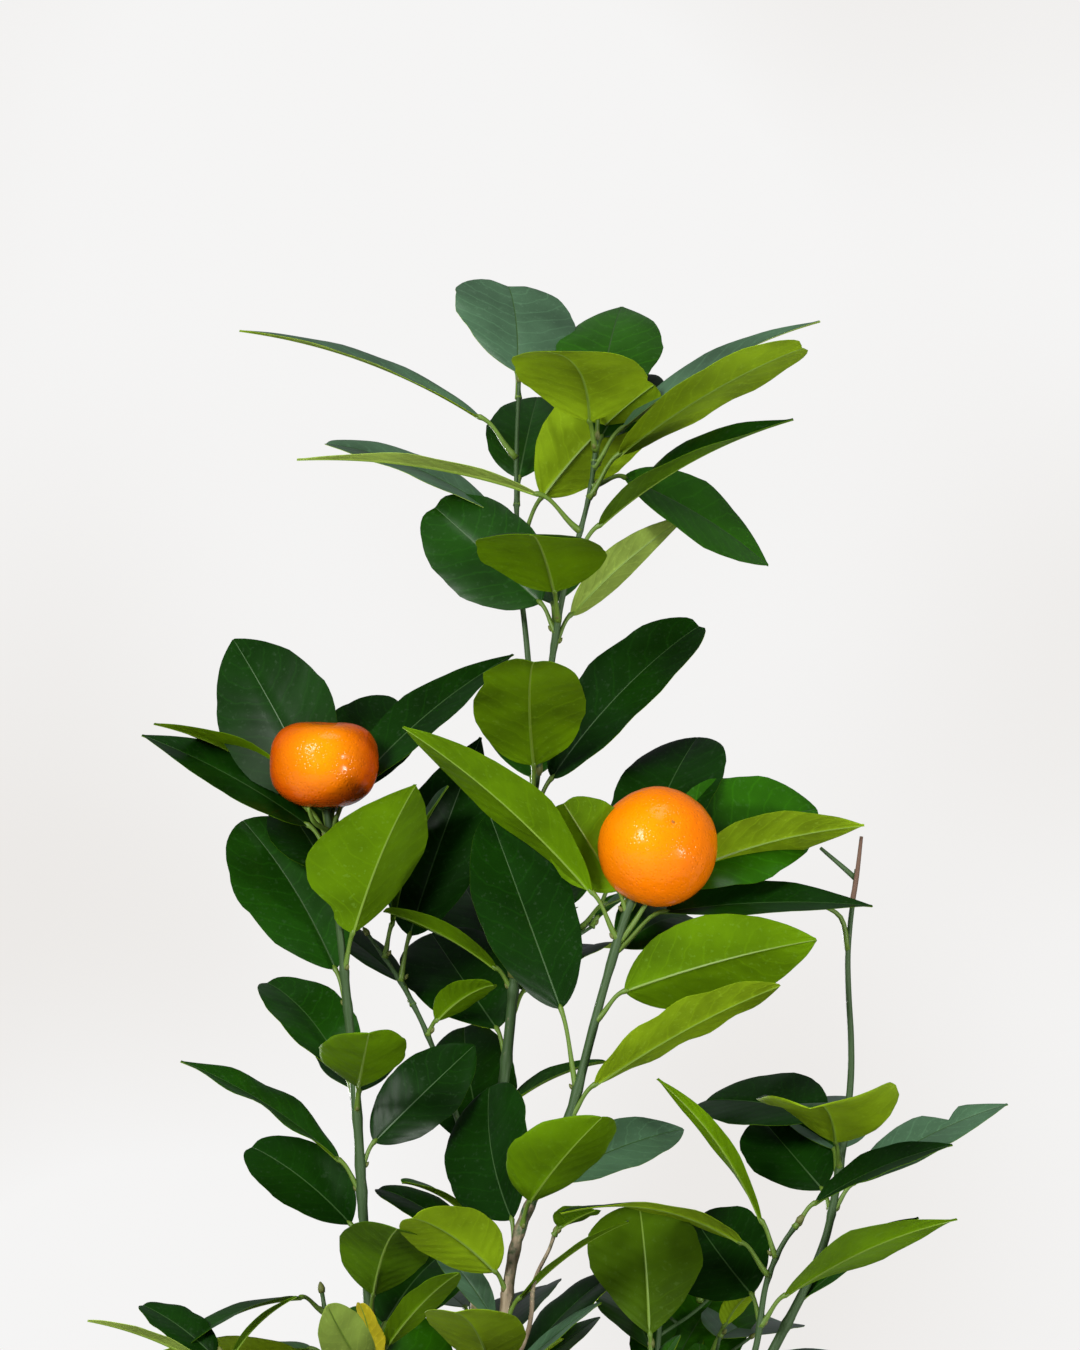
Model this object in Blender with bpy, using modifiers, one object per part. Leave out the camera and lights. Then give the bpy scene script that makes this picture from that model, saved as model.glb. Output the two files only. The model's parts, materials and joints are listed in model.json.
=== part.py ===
"""A young calamondin orange tree, 0.73 m tall, in a plain clay pot.

One short trunk stands on the soil and forks into boughs. Each bough ends where its mass of foliage
starts, and a mass is one solid: a stem, its twigs, its leaves on thin stalks, and its fruit.
The origin is the centre of the pot's flat underside, +Z is up, and the front of the tree faces -Y.
Shoots and leaves are set out in millimetres, and every mesh is made in metres.
"""

import math
import random

import bmesh
import bpy
import numpy as np
from mathutils import Matrix, Vector

MM = 0.001
GAP = 0.3            # clearance between pieces that touch, mm
WELD = 0.01          # points closer than this are one, mm
SHORTEST = 1         # least run between two rings of a tube, mm
SEED = 26

POT_HEIGHT = 165
POT_TOP_RADIUS = 100
POT_FOOT_RADIUS = 68
POT_WALL = 7
POT_EDGE = 2         # the worn corners of the rim and the foot
RIM_HEIGHT = 30
RIM_STEP = 5
ROUND_STEPS = 32
SOIL_TOP = 150
SOIL_DOME = 4        # the soil's fall from the trunk to the pot's wall
DRAIN_RADIUS = 5
DRAIN_RING = 36
DRAIN_HOLES = 3
DRAIN_SIDES = 12

TRUNK_SIZES = ((0, 13), (6, 10.4), (18, 8.6), (40, 7.8), (60, 7.4))  # height above the soil and radius
TRUNK_FORK = 226     # height where the trunk has divided
FORK_RADIUS = 5.5
FORK_LEAN = (1, 1)   # how far the fork stands from the pot's axis

LEAF_THICK = 1.1
LEAF_FOLD = 0.20     # rise of the margins above the midrib as a share of half the width
LEAF_BOW = 0.05      # height of the blade's arch as a share of its length
LEAF_STATIONS = ((0.14, 0.64), (0.42, 1.0), (0.7, 0.92), (0.92, 0.5))  # share of the length and of the width
STALK_RADIUS = 1.1
STALK_SHARE = 0.18   # length of a leaf's stalk as a share of the way from its joint to its tip
STALK_RISE = 0.6     # how much a stalk turns up before its blade

# The rule by which leaves and twigs grow where the tree isn't set out leaf by leaf.
JOINT_SPACING = 7    # of the joints along a stem, in height
SPACING_SPREAD = (0.85, 1.15)
GOLDEN_TURN = math.radians(137.5)
TWIG_EVERY = 3       # every third joint bears a twig
TWIG_LENGTH = (28, 42)
TWIG_LIFT = math.radians(30)
TWIG_SAG = 2
TWIG_TAPER = (0.8, 0.7)  # radius at its foot and its middle as a share of its stem's
TWIG_TIP_RADIUS = 0.8
TWIG_LEAVES = ((0.55, 1.1), (0.8, -1.1), (0.98, 0.1))  # share of the twig's length and turn from it, radians
RULE_REACH = (60, 84)
RULE_LIFT = (4, 42)
RULE_ROLL = 18
RULE_WIDTH = (0.42, 0.49)  # of a blade as a share of the leaf's reach
BLADE_CLEARANCE = 10  # least distance between the blades of two masses, at their sample points

FRUIT_SEGMENTS = (14, 9)

# Shoots, as the points that each one passes: x, y and height. Radii are at its foot and its tip.
# A shoot with a span has a bough between those two heights, a trunk stub below and a mass above.
SHOOTS = {
    "left": dict(
        points=((0, 0, 214), (-14, 3, 262), (-28, 5, 320), (-36, 6, 370), (-41, 4, 447), (-45, 3, 493),
                (-47, 1, 512), (-51, -1, 551)),
        radii=(3.7, 1.6), span=(246, 345)),
    "centre": dict(
        points=((1, 2, 216), (2, 10, 270), (0, 18, 330), (-1, 22, 397), (8, 24, 460), (12, 20, 500),
                (15, 17, 530), (19, 15, 562)),
        radii=(4.3, 1.8), span=(248, 384)),
    "right": dict(
        points=((2, -2, 214), (3, -15, 265), (3, -19, 320), (7, -19, 370), (13, -18, 410), (28, -18, 443),
                (40, -17, 487), (49, -16, 517), (54, -16, 526)),
        radii=(3.9, 1.6), span=(246, 344)),
    "far_right": dict(
        points=((3, -1, 210), (25, 2, 238), (55, 6, 285), (80, 9, 335), (100, 11, 373), (112, 12, 397),
                (118, 12, 417), (124, 12, 460), (123, 12, 500), (126, 12, 530)),
        radii=(3.6, 1.2), span=(234, 340)),
    "low_left": dict(
        points=((0, 0, 203), (-22, -4, 236), (-52, -6, 290), (-78, -6, 338), (-86, -6, 368)),
        radii=(3.2, 1.3), span=(222, 306)),
    "back": dict(
        points=((0, 2, 206), (-6, 28, 240), (-6, 46, 330), (-1, 60, 397), (8, 64, 460), (12, 68, 500)),
        radii=(3.4, 1.3), span=(233, 318)),
    "front": dict(
        points=((1, -1, 198), (12, -24, 226), (20, -46, 275), (22, -58, 326)),
        radii=(3.2, 1.3), span=(219, 262)),
}

# Twigs that leave a shoot, from the height where each one starts on it.
TWIGS = {
    "top_left": dict(parent="centre", start=558, radii=(1.8, 1.0),
                     points=((16, 20, 600), (13, 24, 630), (12, 27, 663), (13, 27, 694))),
    "top_right": dict(parent="centre", start=558, radii=(1.9, 1.0),
                      points=((24, 9, 600), (28, 6, 623), (36, 5, 653), (39, 4, 674))),
    "inner": dict(parent="centre", start=410, radii=(1.8, 1.0),
                  points=((-7, 26, 443), (-17, 27, 472), (-27, 26, 492), (-38, 27, 508))),
    "right_inner": dict(parent="right", start=352, radii=(1.4, 0.9),
                        points=((16, -24, 378), (18, -25, 394), (23, -25, 405), (25, -26, 411))),
}

# Side shoots that are the stems of masses of their own, and stand clear of the bough they grow from.
SIDE_SHOOTS = {
    "far_right_low": dict(parent="far_right", start=326, radii=(2.2, 1.2),
                          points=((79, -3, 336), (86, -6, 354), (92, -5, 372), (95, -4, 391), (100, -4, 404),
                                  (106, -5, 413))),
    "low_right": dict(parent="far_right", start=252, radii=(2.4, 1.2),
                      points=((42, -12, 262), (62, -32, 285), (82, -46, 315), (96, -54, 350))),
    "right_mid": dict(parent="far_right", start=284, radii=(2.2, 1.2),
                      points=((54, -5, 292), (56, -12, 325), (57, -10, 350), (57, -10, 372))),
    "back_right": dict(parent="far_right", start=268, radii=(2.4, 1.2),
                       points=((44, 15, 272), (50, 34, 305), (58, 52, 345), (62, 62, 392))),
    "back_left": dict(parent="left", start=270, radii=(2.4, 1.2),
                      points=((-20, 13, 275), (-32, 28, 302), (-46, 44, 342), (-54, 52, 386))),
}

# Leaves, by shoot: the height of the leaf's joint on it, the tip's x, y and height, the roll that turns
# the upper side to the front, in degrees, the blade's width, and the stalk's length where it is long.
LEAVES = {
    "top_left": (
        (688, 9, 66, 729, -16, 43), (652, 19, 76, 690, 0, 28), (637, 58, 6, 692, -48, 34, 20),
        (668, -81, 27, 711, -3, 18), (640, -54, 44, 674, 14, 24),
    ),
    "top_right": (
        (671, 48, 78, 721, 0, 36), (670, 23, -56, 701, 0, 44), (666, 57, 50, 698, 20, 26),
        (664, 114, 24, 714, 9, 28), (654, 109, -8, 705, -20, 32, 18), (658, 97, 34, 632, 48, 34),
        (632, 104, -12, 680, 14, 28), (643, -61, 0, 667, -11, 24, 19), (609, -17, 30, 653, 60, 34),
        (613, 17, -62, 641, 0, 43), (605, 70, 24, 649, -24, 24), (608, 18, 88, 638, 0, 32),
    ),
    "centre_top": (
        (553, 18, -48, 601, 0, 37), (546, 75, 26, 613, 38, 32), (548, 18, 92, 594, 0, 33),
    ),
    "left": (
        (541, -83, 24, 607, 66, 40), (534, -113, 8, 575, 22, 34), (540, -108, -14, 579, -12, 24),
        (484, -80, 30, 546, 38, 40), (522, -66, 38, 552, 20, 24), (452, -73, 40, 492, 14, 28),
        (449, -36, -56, 471, 0, 34), (430, -2, 14, 471, 56, 26), (422, -100, 8, 466, 16, 24),
        (403, -78, 28, 437, 36, 28), (380, -27, -40, 413, -14, 30), (368, -6, 60, 402, 20, 34),
        (362, -7, -32, 398, -12, 14), (348, -50, -44, 388, -50, 18), (496, -21, -38, 559, -26, 40),
        (545, -26, 46, 587, 20, 32), (543, 11, 30, 602, 24, 24), (538, -52, 74, 570, 0, 30),
        (446, -38, 78, 470, 0, 30),
    ),
    "centre_low": (
        (466, -17, 68, 507, 20, 38), (425, -6, 74, 476, 20, 32), (398, -36, 44, 422, 12, 20),
        (408, -27, 8, 426, 8, 14), (446, 44, 38, 465, 4, 14), (489, -34, 12, 517, -12, 18),
    ),
    "inner": (
        (492, 0, 38, 574, 46, 34), (500, -11, 8, 558, 40, 20), (484, -55, 60, 512, 8, 16),
        (474, 5, 10, 492, -24, 15),
    ),
    "right_low": (
        (404, 3, 10, 457, 62, 40), (411, 40, -66, 444, -10, 38), (390, -23, -50, 418, -30, 28),
        (418, 68, 14, 443, 34, 24), (380, 50, -40, 416, 8, 14), (374, -17, 2, 407, 12, 14),
        (354, 41, -6, 387, 8, 10), (357, -8, -66, 388, 0, 32), (350, 34, -72, 374, 0, 32),
    ),
    "right_inner": (
        (410, 38, -36, 419, -10, 18),
    ),
    "right_top": (
        (507, -25, -38, 578, -20, 34), (457, 3, -2, 549, 44, 34, 28), (516, 27, -24, 554, -60, 30),
        (518, 73, 38, 574, 0, 37), (516, 113, 26, 550, 56, 40), (506, 128, 0, 545, -32, 28, 30),
        (503, 131, 4, 518, 24, 26, 22), (480, 111, -38, 508, -40, 31), (498, 70, 26, 514, 30, 26),
        (447, 99, -36, 493, -26, 26), (514, 62, 62, 544, 0, 32),
    ),
    "far_right": (
        (440, 75, 50, 451, 24, 38), (430, 108, -56, 454, 0, 46), (415, 95, 46, 445, 28, 32),
        (415, 177, 22, 451, 24, 26), (378, 147, 20, 413, 22, 22), (426, 114, 86, 450, 0, 34),
    ),
    "far_right_low": (
        (411, 157, -10, 439, 20, 24), (378, 158, -22, 415, -24, 30), (401, 59, -12, 461, -26, 17),
        (395, 27, -70, 420, -4, 22), (380, 72, 38, 412, 42, 36),
    ),
    "right_mid": (
        (366, 53, -18, 426, -8, 40),
    ),
    "low_left": (
        (362, -114, 10, 385, 16, 20), (358, -130, -14, 381, -10, 14), (364, -61, -14, 389, -4, 9),
    ),
}

FRUIT = {
    "left": dict(centre=(-52, -1, 565), radii=(18.2, 14.6)),
    "right": dict(centre=(59, -16, 538), radii=(20, 20)),
}

# Masses: the shoot whose upper part is the stem, the heights between which it is, and the shoots and
# twigs with leaves. Leaves also follow the rule along each stretch: its heights, the bearing of the
# leaves and how far they swing from it, in degrees, and the height that their tips stay under.
MASSES = {
    "foliage_left": dict(shoot="left", span=(345, 551), leafy=("left",), fruit="left"),
    "foliage_centre_low": dict(shoot="centre", span=(384, 494), leafy=("centre_low", "inner")),
    "foliage_centre_top": dict(shoot="centre", span=(494, 562),
                               leafy=("centre_top", "top_left", "top_right")),
    "foliage_right_low": dict(shoot="right", span=(344, 443), leafy=("right_low", "right_inner")),
    "foliage_right_top": dict(shoot="right", span=(443, 526), leafy=("right_top",), fruit="right"),
    "foliage_far_right": dict(shoot="far_right", span=(340, 530), leafy=("far_right",)),
    "foliage_far_right_low": dict(shoot="far_right_low", leafy=("far_right_low",)),
    "foliage_right_mid": dict(shoot="right_mid", leafy=("right_mid",), rule=((300, 360, -60, 110, 362),)),
    "foliage_low_right": dict(shoot="low_right", leafy=(), rule=((268, 346, -20, 180, 362),)),
    "foliage_low_left": dict(shoot="low_left", span=(306, 368), leafy=("low_left",),
                             rule=((308, 356, 200, 180, 362),)),
    "foliage_back": dict(shoot="back", span=(318, 500), leafy=(),
                         rule=((322, 380, 90, 130, 400), (470, 500, 90, 60, 575))),
    "foliage_front": dict(shoot="front", span=(262, 326), leafy=(), rule=((264, 326, -90, 180, 360),)),
    "foliage_back_right": dict(shoot="back_right", leafy=(), rule=((288, 390, 50, 130, 410),)),
    "foliage_back_left": dict(shoot="back_left", leafy=(), rule=((288, 384, 140, 130, 395),)),
}


def clear_scene():
    for thing in list(bpy.data.objects):
        bpy.data.objects.remove(thing)


def collection(name):
    made = bpy.data.collections.new(name)
    bpy.context.scene.collection.children.link(made)
    return made


def material(name, colour, roughness):
    made = bpy.data.materials.new(name)
    made.use_nodes = True
    surface = made.node_tree.nodes["Principled BSDF"]
    surface.inputs["Base Color"].default_value = (*colour, 1)
    surface.inputs["Roughness"].default_value = roughness
    surface.inputs["Metallic"].default_value = 0
    return made


def add_object(name, mesh, group, finish):
    made = bpy.data.objects.new(name, mesh)
    mesh.materials.append(finish)
    group.objects.link(made)
    return made


def smooth_route(points, radii, per_stretch=3):
    """(point, radius) pairs along a Catmull-Rom curve through the points, with the radius tapering evenly."""
    knots = [Vector(p) for p in points]
    ends = [2 * knots[0] - knots[1], *knots, 2 * knots[-1] - knots[-2]]
    line = []
    for a, b, c, d in zip(ends, ends[1:], ends[2:], ends[3:]):
        for step in range(per_stretch):
            t = step / per_stretch
            line.append(0.5 * (2 * b + (c - a) * t + (2 * a - 5 * b + 4 * c - d) * t * t
                               + (3 * b - a - 3 * c + d) * t ** 3))
    line.append(knots[-1])
    return [(p, radii[0] + (radii[1] - radii[0]) * i / (len(line) - 1)) for i, p in enumerate(line)]


def at_height(route, height):
    """The point and radius where a rising route passes a height."""
    for (low, r_low), (high, r_high) in zip(route, route[1:]):
        if height <= high.z:
            t = (height - low.z) / (high.z - low.z)
            return low.lerp(high, t), r_low + (r_high - r_low) * t
    return route[-1]


def between(route, low, high):
    """The part of a rising route between two heights."""
    inside = [pair for pair in route if low + SHORTEST < pair[0].z < high - SHORTEST]
    return [at_height(route, low), *inside, at_height(route, high)]


def along_route(route, steps=3):
    """Points along a route, closer together than its own."""
    return [near.lerp(far, step / steps)
            for (near, _), (far, _) in zip(route, route[1:]) for step in range(steps)]


def tube(name, route, group, finish, resolution=1):
    """A tapering tube with flat ends, made as a curve and turned into a mesh."""
    curve = bpy.data.curves.new(name, "CURVE")
    curve.dimensions = "3D"
    curve.bevel_depth = MM
    curve.bevel_resolution = resolution
    curve.use_fill_caps = True
    spline = curve.splines.new("POLY")
    spline.points.add(len(route) - 1)
    for knot, (point, radius) in zip(spline.points, route):
        knot.co = (*(point * MM), 1)
        knot.radius = radius
    guide = bpy.data.objects.new(name + "_guide", curve)
    group.objects.link(guide)
    seen = guide.evaluated_get(bpy.context.evaluated_depsgraph_get())
    mesh = bpy.data.meshes.new_from_object(seen)
    bpy.data.objects.remove(guide)
    bm = bmesh.new()
    bm.from_mesh(mesh)
    bmesh.ops.remove_doubles(bm, verts=bm.verts, dist=WELD * MM)
    bm.to_mesh(mesh)
    bm.free()
    mesh.materials.clear()
    return add_object(name, mesh, group, finish)


def leaf_frame(joint, tip, roll, stalk):
    """The blade's foot, its length, and its directions: along, across and out of the upper side."""
    reach = (tip - joint).length
    rising = ((tip - joint) / reach + Vector((0, 0, STALK_RISE))).normalized()
    foot = joint + rising * (stalk or STALK_SHARE * reach)
    along = (tip - foot).normalized()
    across = along.cross(Vector((0, 0, 1))).normalized()
    if across.y > 0:
        across.negate()
    upper = across.cross(along)
    if upper.z < 0:
        upper.negate()
    turned = upper * math.cos(roll) + across * math.sin(roll)
    return foot, (tip - foot).length, along, turned.cross(along), turned


def blade_points(joint, tip, roll, width, stalk=None):
    """Sample points over a blade, to keep the blades of two masses apart."""
    foot, length, along, across, _ = leaf_frame(joint, tip, roll, stalk)
    return [foot + along * length * share + across * width * swell * side
            for share, swell in ((0, 0), *LEAF_STATIONS, (1, 0)) for side in (-0.4, 0, 0.4)]


def leaf(name, group, finish, joint, tip, roll, width, stalk=None):
    """A stalk and a folded, arched blade as one closed loft of four-point rings."""
    foot, length, along, across, upper = leaf_frame(joint, tip, roll, stalk)
    bm = bmesh.new()

    def ring(centre, out, rise, thick):
        corners = (centre - across * out + upper * rise, centre + upper * thick / 2,
                   centre + across * out + upper * rise, centre - upper * thick / 2)
        return [bm.verts.new(corner * MM) for corner in corners]

    rings = [ring(joint, STALK_RADIUS, 0, 2 * STALK_RADIUS), ring(foot, STALK_RADIUS, 0, 2 * STALK_RADIUS)]
    for share, swell in LEAF_STATIONS:
        arch = 4 * LEAF_BOW * length * share * (1 - share)
        centre = foot + along * length * share + upper * arch
        half = swell * width / 2
        rings.append(ring(centre, half, half * LEAF_FOLD, LEAF_THICK))
    point = bm.verts.new(tip * MM)
    bm.faces.new(rings[0])
    for near, far in zip(rings, rings[1:]):
        for side in range(4):
            after = (side + 1) % 4
            bm.faces.new((near[side], near[after], far[after], far[side]))
    for side in range(4):
        bm.faces.new((rings[-1][side], rings[-1][(side + 1) % 4], point))
    bmesh.ops.recalc_face_normals(bm, faces=bm.faces)
    mesh = bpy.data.meshes.new(name)
    bm.to_mesh(mesh)
    bm.free()
    return add_object(name, mesh, group, finish)


def fruit(name, centre, radii, group, finish):
    width, height = radii
    size = Matrix.Diagonal((width * MM, width * MM, height * MM, 1))
    bm = bmesh.new()
    bmesh.ops.create_uvsphere(bm, u_segments=FRUIT_SEGMENTS[0], v_segments=FRUIT_SEGMENTS[1], radius=1,
                              matrix=Matrix.Translation(Vector(centre) * MM) @ size)
    mesh = bpy.data.meshes.new(name)
    bm.to_mesh(mesh)
    bm.free()
    mesh.shade_smooth()
    return add_object(name, mesh, group, finish)


def fuse(base, pieces):
    """Joins the pieces of a collection to the base by one Boolean union, and removes them."""
    union = base.modifiers.new("union", "BOOLEAN")
    union.operation = "UNION"
    union.operand_type = "COLLECTION"
    union.collection = pieces
    union.solver = "EXACT"
    union.material_mode = "TRANSFER"
    seen = base.evaluated_get(bpy.context.evaluated_depsgraph_get())
    joined = bpy.data.meshes.new_from_object(seen)
    base.modifiers.clear()
    base.data = joined
    for piece in list(pieces.objects):
        bpy.data.objects.remove(piece)
    bpy.data.collections.remove(pieces)
    return base


def turned(name, profile, group, finish):
    """A solid of revolution from a profile of (radius, height) that runs down its outer side."""
    mesh = bpy.data.meshes.new(name)
    bm = bmesh.new()
    knots = [bm.verts.new((radius * MM, 0, height * MM)) for radius, height in profile]
    for a, b in zip(knots, knots[1:]):
        bm.edges.new((a, b))
    bm.to_mesh(mesh)
    bm.free()
    made = add_object(name, mesh, group, finish)
    screw = made.modifiers.new("turn", "SCREW")
    screw.steps = screw.render_steps = ROUND_STEPS
    screw.use_merge_vertices = True
    screw.merge_threshold = WELD * MM
    return made


def wall_radius(height):
    """The pot's outer radius below its rim."""
    top = POT_TOP_RADIUS - RIM_STEP
    return POT_FOOT_RADIUS + (top - POT_FOOT_RADIUS) * height / (POT_HEIGHT - RIM_HEIGHT)


def make_pot(group, cutters):
    clay = material("clay", (0.52, 0.22, 0.11), 0.85)
    knee = POT_HEIGHT - RIM_HEIGHT
    bore = POT_TOP_RADIUS - POT_WALL
    profile = (
        (0, POT_WALL), (wall_radius(POT_WALL) - POT_WALL, POT_WALL), (wall_radius(knee) - POT_WALL, knee),
        (bore, POT_HEIGHT - POT_EDGE), (bore + POT_EDGE, POT_HEIGHT), (POT_TOP_RADIUS - POT_EDGE, POT_HEIGHT),
        (POT_TOP_RADIUS, POT_HEIGHT - POT_EDGE), (POT_TOP_RADIUS - POT_EDGE / 2, knee + POT_EDGE / 2),
        (wall_radius(knee), knee), (wall_radius(POT_EDGE), POT_EDGE), (POT_FOOT_RADIUS - POT_EDGE / 2, 0),
        (0, 0),
    )
    pot = turned("pot", profile, group, clay)
    for hole in range(DRAIN_HOLES):
        around = 2 * math.pi * hole / DRAIN_HOLES
        place = Vector((DRAIN_RING * math.cos(around), DRAIN_RING * math.sin(around), POT_WALL / 2)) * MM
        bpy.ops.mesh.primitive_cylinder_add(vertices=DRAIN_SIDES, radius=DRAIN_RADIUS * MM,
                                            depth=3 * POT_WALL * MM, location=place)
        cutter = bpy.context.object
        cutter.name = f"drain_cutter_{hole}"
        cutter.hide_render = True
        cutter.display_type = "WIRE"
        for home in cutter.users_collection:
            home.objects.unlink(cutter)
        cutters.objects.link(cutter)
        cut = pot.modifiers.new(cutter.name, "BOOLEAN")
        cut.operation = "DIFFERENCE"
        cut.object = cutter
    return pot


def make_soil(group):
    earth = material("soil", (0.06, 0.04, 0.025), 0.95)
    floor = POT_WALL + GAP
    knee = POT_HEIGHT - RIM_HEIGHT
    edge = SOIL_TOP - SOIL_DOME
    at_knee = wall_radius(knee) - POT_WALL - GAP
    at_lip = POT_TOP_RADIUS - POT_WALL - GAP
    at_edge = at_knee + (at_lip - at_knee) * (edge - knee) / (RIM_HEIGHT - POT_EDGE)
    level = 2 * TRUNK_SIZES[0][1]
    profile = (
        (0, SOIL_TOP), (level, SOIL_TOP), (at_edge, edge),
        (at_knee, knee), (wall_radius(POT_WALL) - POT_WALL - GAP, floor), (0, floor),
    )
    return turned("soil", profile, group, earth)


def make_trunk(routes, group, bark):
    """The trunk on the soil, with the short foot of each shoot that forks from it fused on."""
    foot = SOIL_TOP + GAP
    rise = TRUNK_FORK - foot
    line = [(Vector((*FORK_LEAN, 0)) * (height / rise) + Vector((0, 0, foot + height)), radius)
            for height, radius in (*TRUNK_SIZES, (rise, FORK_RADIUS))]
    trunk = tube("trunk", line, group, bark, resolution=3)
    stubs = collection("stubs")
    for name, shoot in SHOOTS.items():
        route = routes[name]
        tube(name + "_stub", between(route, route[0][0].z, shoot["span"][0]), stubs, bark, resolution=2)
    fuse(trunk, stubs)


def make_boughs(routes, group, bark):
    for name, shoot in SHOOTS.items():
        low, high = shoot["span"]
        tube("bough_" + name, between(routes[name], low + GAP, high), group, bark, resolution=2)


def shoot_routes():
    """Each shoot's and twig's route from its foot to its tip."""
    routes = {name: smooth_route(shoot["points"], shoot["radii"]) for name, shoot in SHOOTS.items()}
    for name, twig in (TWIGS | SIDE_SHOOTS).items():
        start, _ = at_height(routes[twig["parent"]], twig["start"])
        routes[name] = smooth_route((start, *twig["points"]), twig["radii"])
    for name, twig in SIDE_SHOOTS.items():
        # The shoot's flat foot leans with it, and its near edge keeps the gap to the parent's side.
        parent = routes[twig["parent"]]
        radius = twig["radii"][0]
        axis, thick = at_height(parent, twig["start"])
        limb = (at_height(parent, twig["start"] + SHORTEST)[0] - axis).normalized()
        outward = (Vector(twig["points"][0]) - axis).normalized()
        slope = outward.dot(limb)
        start = axis + outward * (thick + GAP + radius * abs(slope)) / math.sqrt(1 - slope * slope)
        rest = [pair for pair in routes[name]
                if (pair[0] - start).dot(outward) > SHORTEST and pair[0].z > start.z + SHORTEST]
        routes[name] = [(start, radius), *rest]
    return routes


def heading(bearing, lift):
    """The direction at an angle round the tree and an angle above level."""
    return Vector((math.cos(bearing) * math.cos(lift), math.sin(bearing) * math.cos(lift), math.sin(lift)))


def rule_leaf(joint, bearing, rng):
    """A leaf by rule at a joint: joint, tip, roll and width."""
    reach = rng.uniform(*RULE_REACH)
    tip = joint + heading(bearing, math.radians(rng.uniform(*RULE_LIFT))) * reach
    roll = math.radians(rng.uniform(-RULE_ROLL, RULE_ROLL))
    return joint, tip, roll, reach * rng.uniform(*RULE_WIDTH)


def grow_by_rule(route, stretch, rng):
    """Joints set round a stem by the golden turn, each with a leaf, and every third with a leafy twig."""
    low, high, bearing, spread, _ = stretch
    height, turn = low, 0.0
    for count in range(int((high - low) / JOINT_SPACING) + 1):
        joint, thick = at_height(route, height)
        turn += GOLDEN_TURN
        swing = (turn + math.pi) % (2 * math.pi) - math.pi
        around = math.radians(bearing) + swing * spread / 180
        if count % TWIG_EVERY:
            yield None, [rule_leaf(joint, around, rng)]
        else:
            end = joint + heading(around, TWIG_LIFT) * rng.uniform(*TWIG_LENGTH)
            middle = joint.lerp(end, 0.5) - Vector((0, 0, TWIG_SAG))
            twig = [(joint, TWIG_TAPER[0] * thick), (middle, TWIG_TAPER[1] * thick), (end, TWIG_TIP_RADIUS)]
            yield twig, [rule_leaf(joint.lerp(end, share), around + turn_off, rng)
                         for share, turn_off in TWIG_LEAVES]
        height += JOINT_SPACING * rng.uniform(*SPACING_SPREAD)


def plan_masses(routes):
    """Every mass's leaves and extra twigs: those set out above, then those by rule that keep clear."""
    rng = random.Random(SEED)
    plan = {}

    def joint_on(group, height):
        # A long shoot has a group of leaves for each of its masses, named for the shoot.
        shoot = group if group in routes else group.rsplit("_", 1)[0]
        return at_height(routes[shoot], height)[0]

    for name, mass in MASSES.items():
        leaves = [(joint_on(group, height), Vector((x, y, z)), math.radians(roll), *sizes)
                  for group in mass["leafy"] for height, x, y, z, roll, *sizes in LEAVES[group]]
        plan[name] = dict(leaves=leaves, twigs=[routes[group] for group in mass["leafy"] if group in TWIGS])
    filled = {name: [p for shape in made["leaves"] for p in blade_points(*shape)]
              for name, made in plan.items()}
    limbs = {name: along_route(route) for name, route in routes.items()}

    def clear(name, points):
        others = [p for other, taken in filled.items() if other != name for p in taken]
        others += [p for shoot, line in limbs.items() if shoot != MASSES[name]["shoot"] for p in line]
        gaps = np.linalg.norm(np.array(points)[:, None] - np.array(others)[None], axis=2)
        return gaps.min() > BLADE_CLEARANCE

    for name, mass in MASSES.items():
        for stretch in mass.get("rule", ()):
            for twig, leaves in grow_by_rule(routes[mass["shoot"]], stretch, rng):
                kept = [shape for shape in leaves
                        if shape[1].z < stretch[-1] and clear(name, blade_points(*shape))]
                if twig and not (kept and clear(name, along_route(twig))):
                    continue
                plan[name]["leaves"] += kept
                filled[name] += [p for shape in kept for p in blade_points(*shape)]
                if twig:
                    plan[name]["twigs"].append(twig)
                    filled[name] += along_route(twig)
    return plan


def make_masses(routes, group, green, wood, peel):
    """Each mass: its stem, with its twigs, leaves and fruit fused on."""
    for name, made in plan_masses(routes).items():
        mass = MASSES[name]
        route = routes[mass["shoot"]]
        low, high = mass.get("span", (route[0][0].z - GAP, route[-1][0].z))
        upper_gap = GAP if high < route[-1][0].z - SHORTEST else 0
        stem = tube(name, between(route, low + GAP, high - upper_gap), group, wood)
        pieces = collection(name + "_pieces")
        for number, twig in enumerate(made["twigs"]):
            tube(f"{name}_twig_{number}", twig, pieces, wood)
        for number, shape in enumerate(made["leaves"]):
            leaf(f"{name}_leaf_{number}", pieces, green, *shape)
        if "fruit" in mass:
            fruit(name + "_fruit", **FRUIT[mass["fruit"]], group=pieces, finish=peel)
        fuse(stem, pieces)


clear_scene()
tree = collection("calamondin_orange_tree")
cutters = collection("cutters")
routes = shoot_routes()
bark = material("bark", (0.20, 0.15, 0.09), 0.85)
make_pot(tree, cutters)
make_soil(tree)
make_trunk(routes, tree, bark)
make_boughs(routes, tree, bark)
make_masses(routes, tree,
            green=material("leaf_green", (0.05, 0.14, 0.02), 0.4),
            wood=material("green_wood", (0.10, 0.17, 0.05), 0.6),
            peel=material("orange_peel", (0.95, 0.33, 0.01), 0.35))
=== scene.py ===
"""A young calamondin orange tree in a plain clay pot, dressed over its frame.

The sections follow the tree as it is put together: the studio, the pot, the soil, the trunk and its boughs,
the leafy shoots, and the fruit. Sizes and places are in millimetres along the frame's own axes: +Z is up
and the side that the photograph shows faces -Y. Meshes are made in metres.
"""

import json
import math
import random

import bmesh
import bpy
import numpy as np
from mathutils import Matrix, Vector, noise

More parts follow.
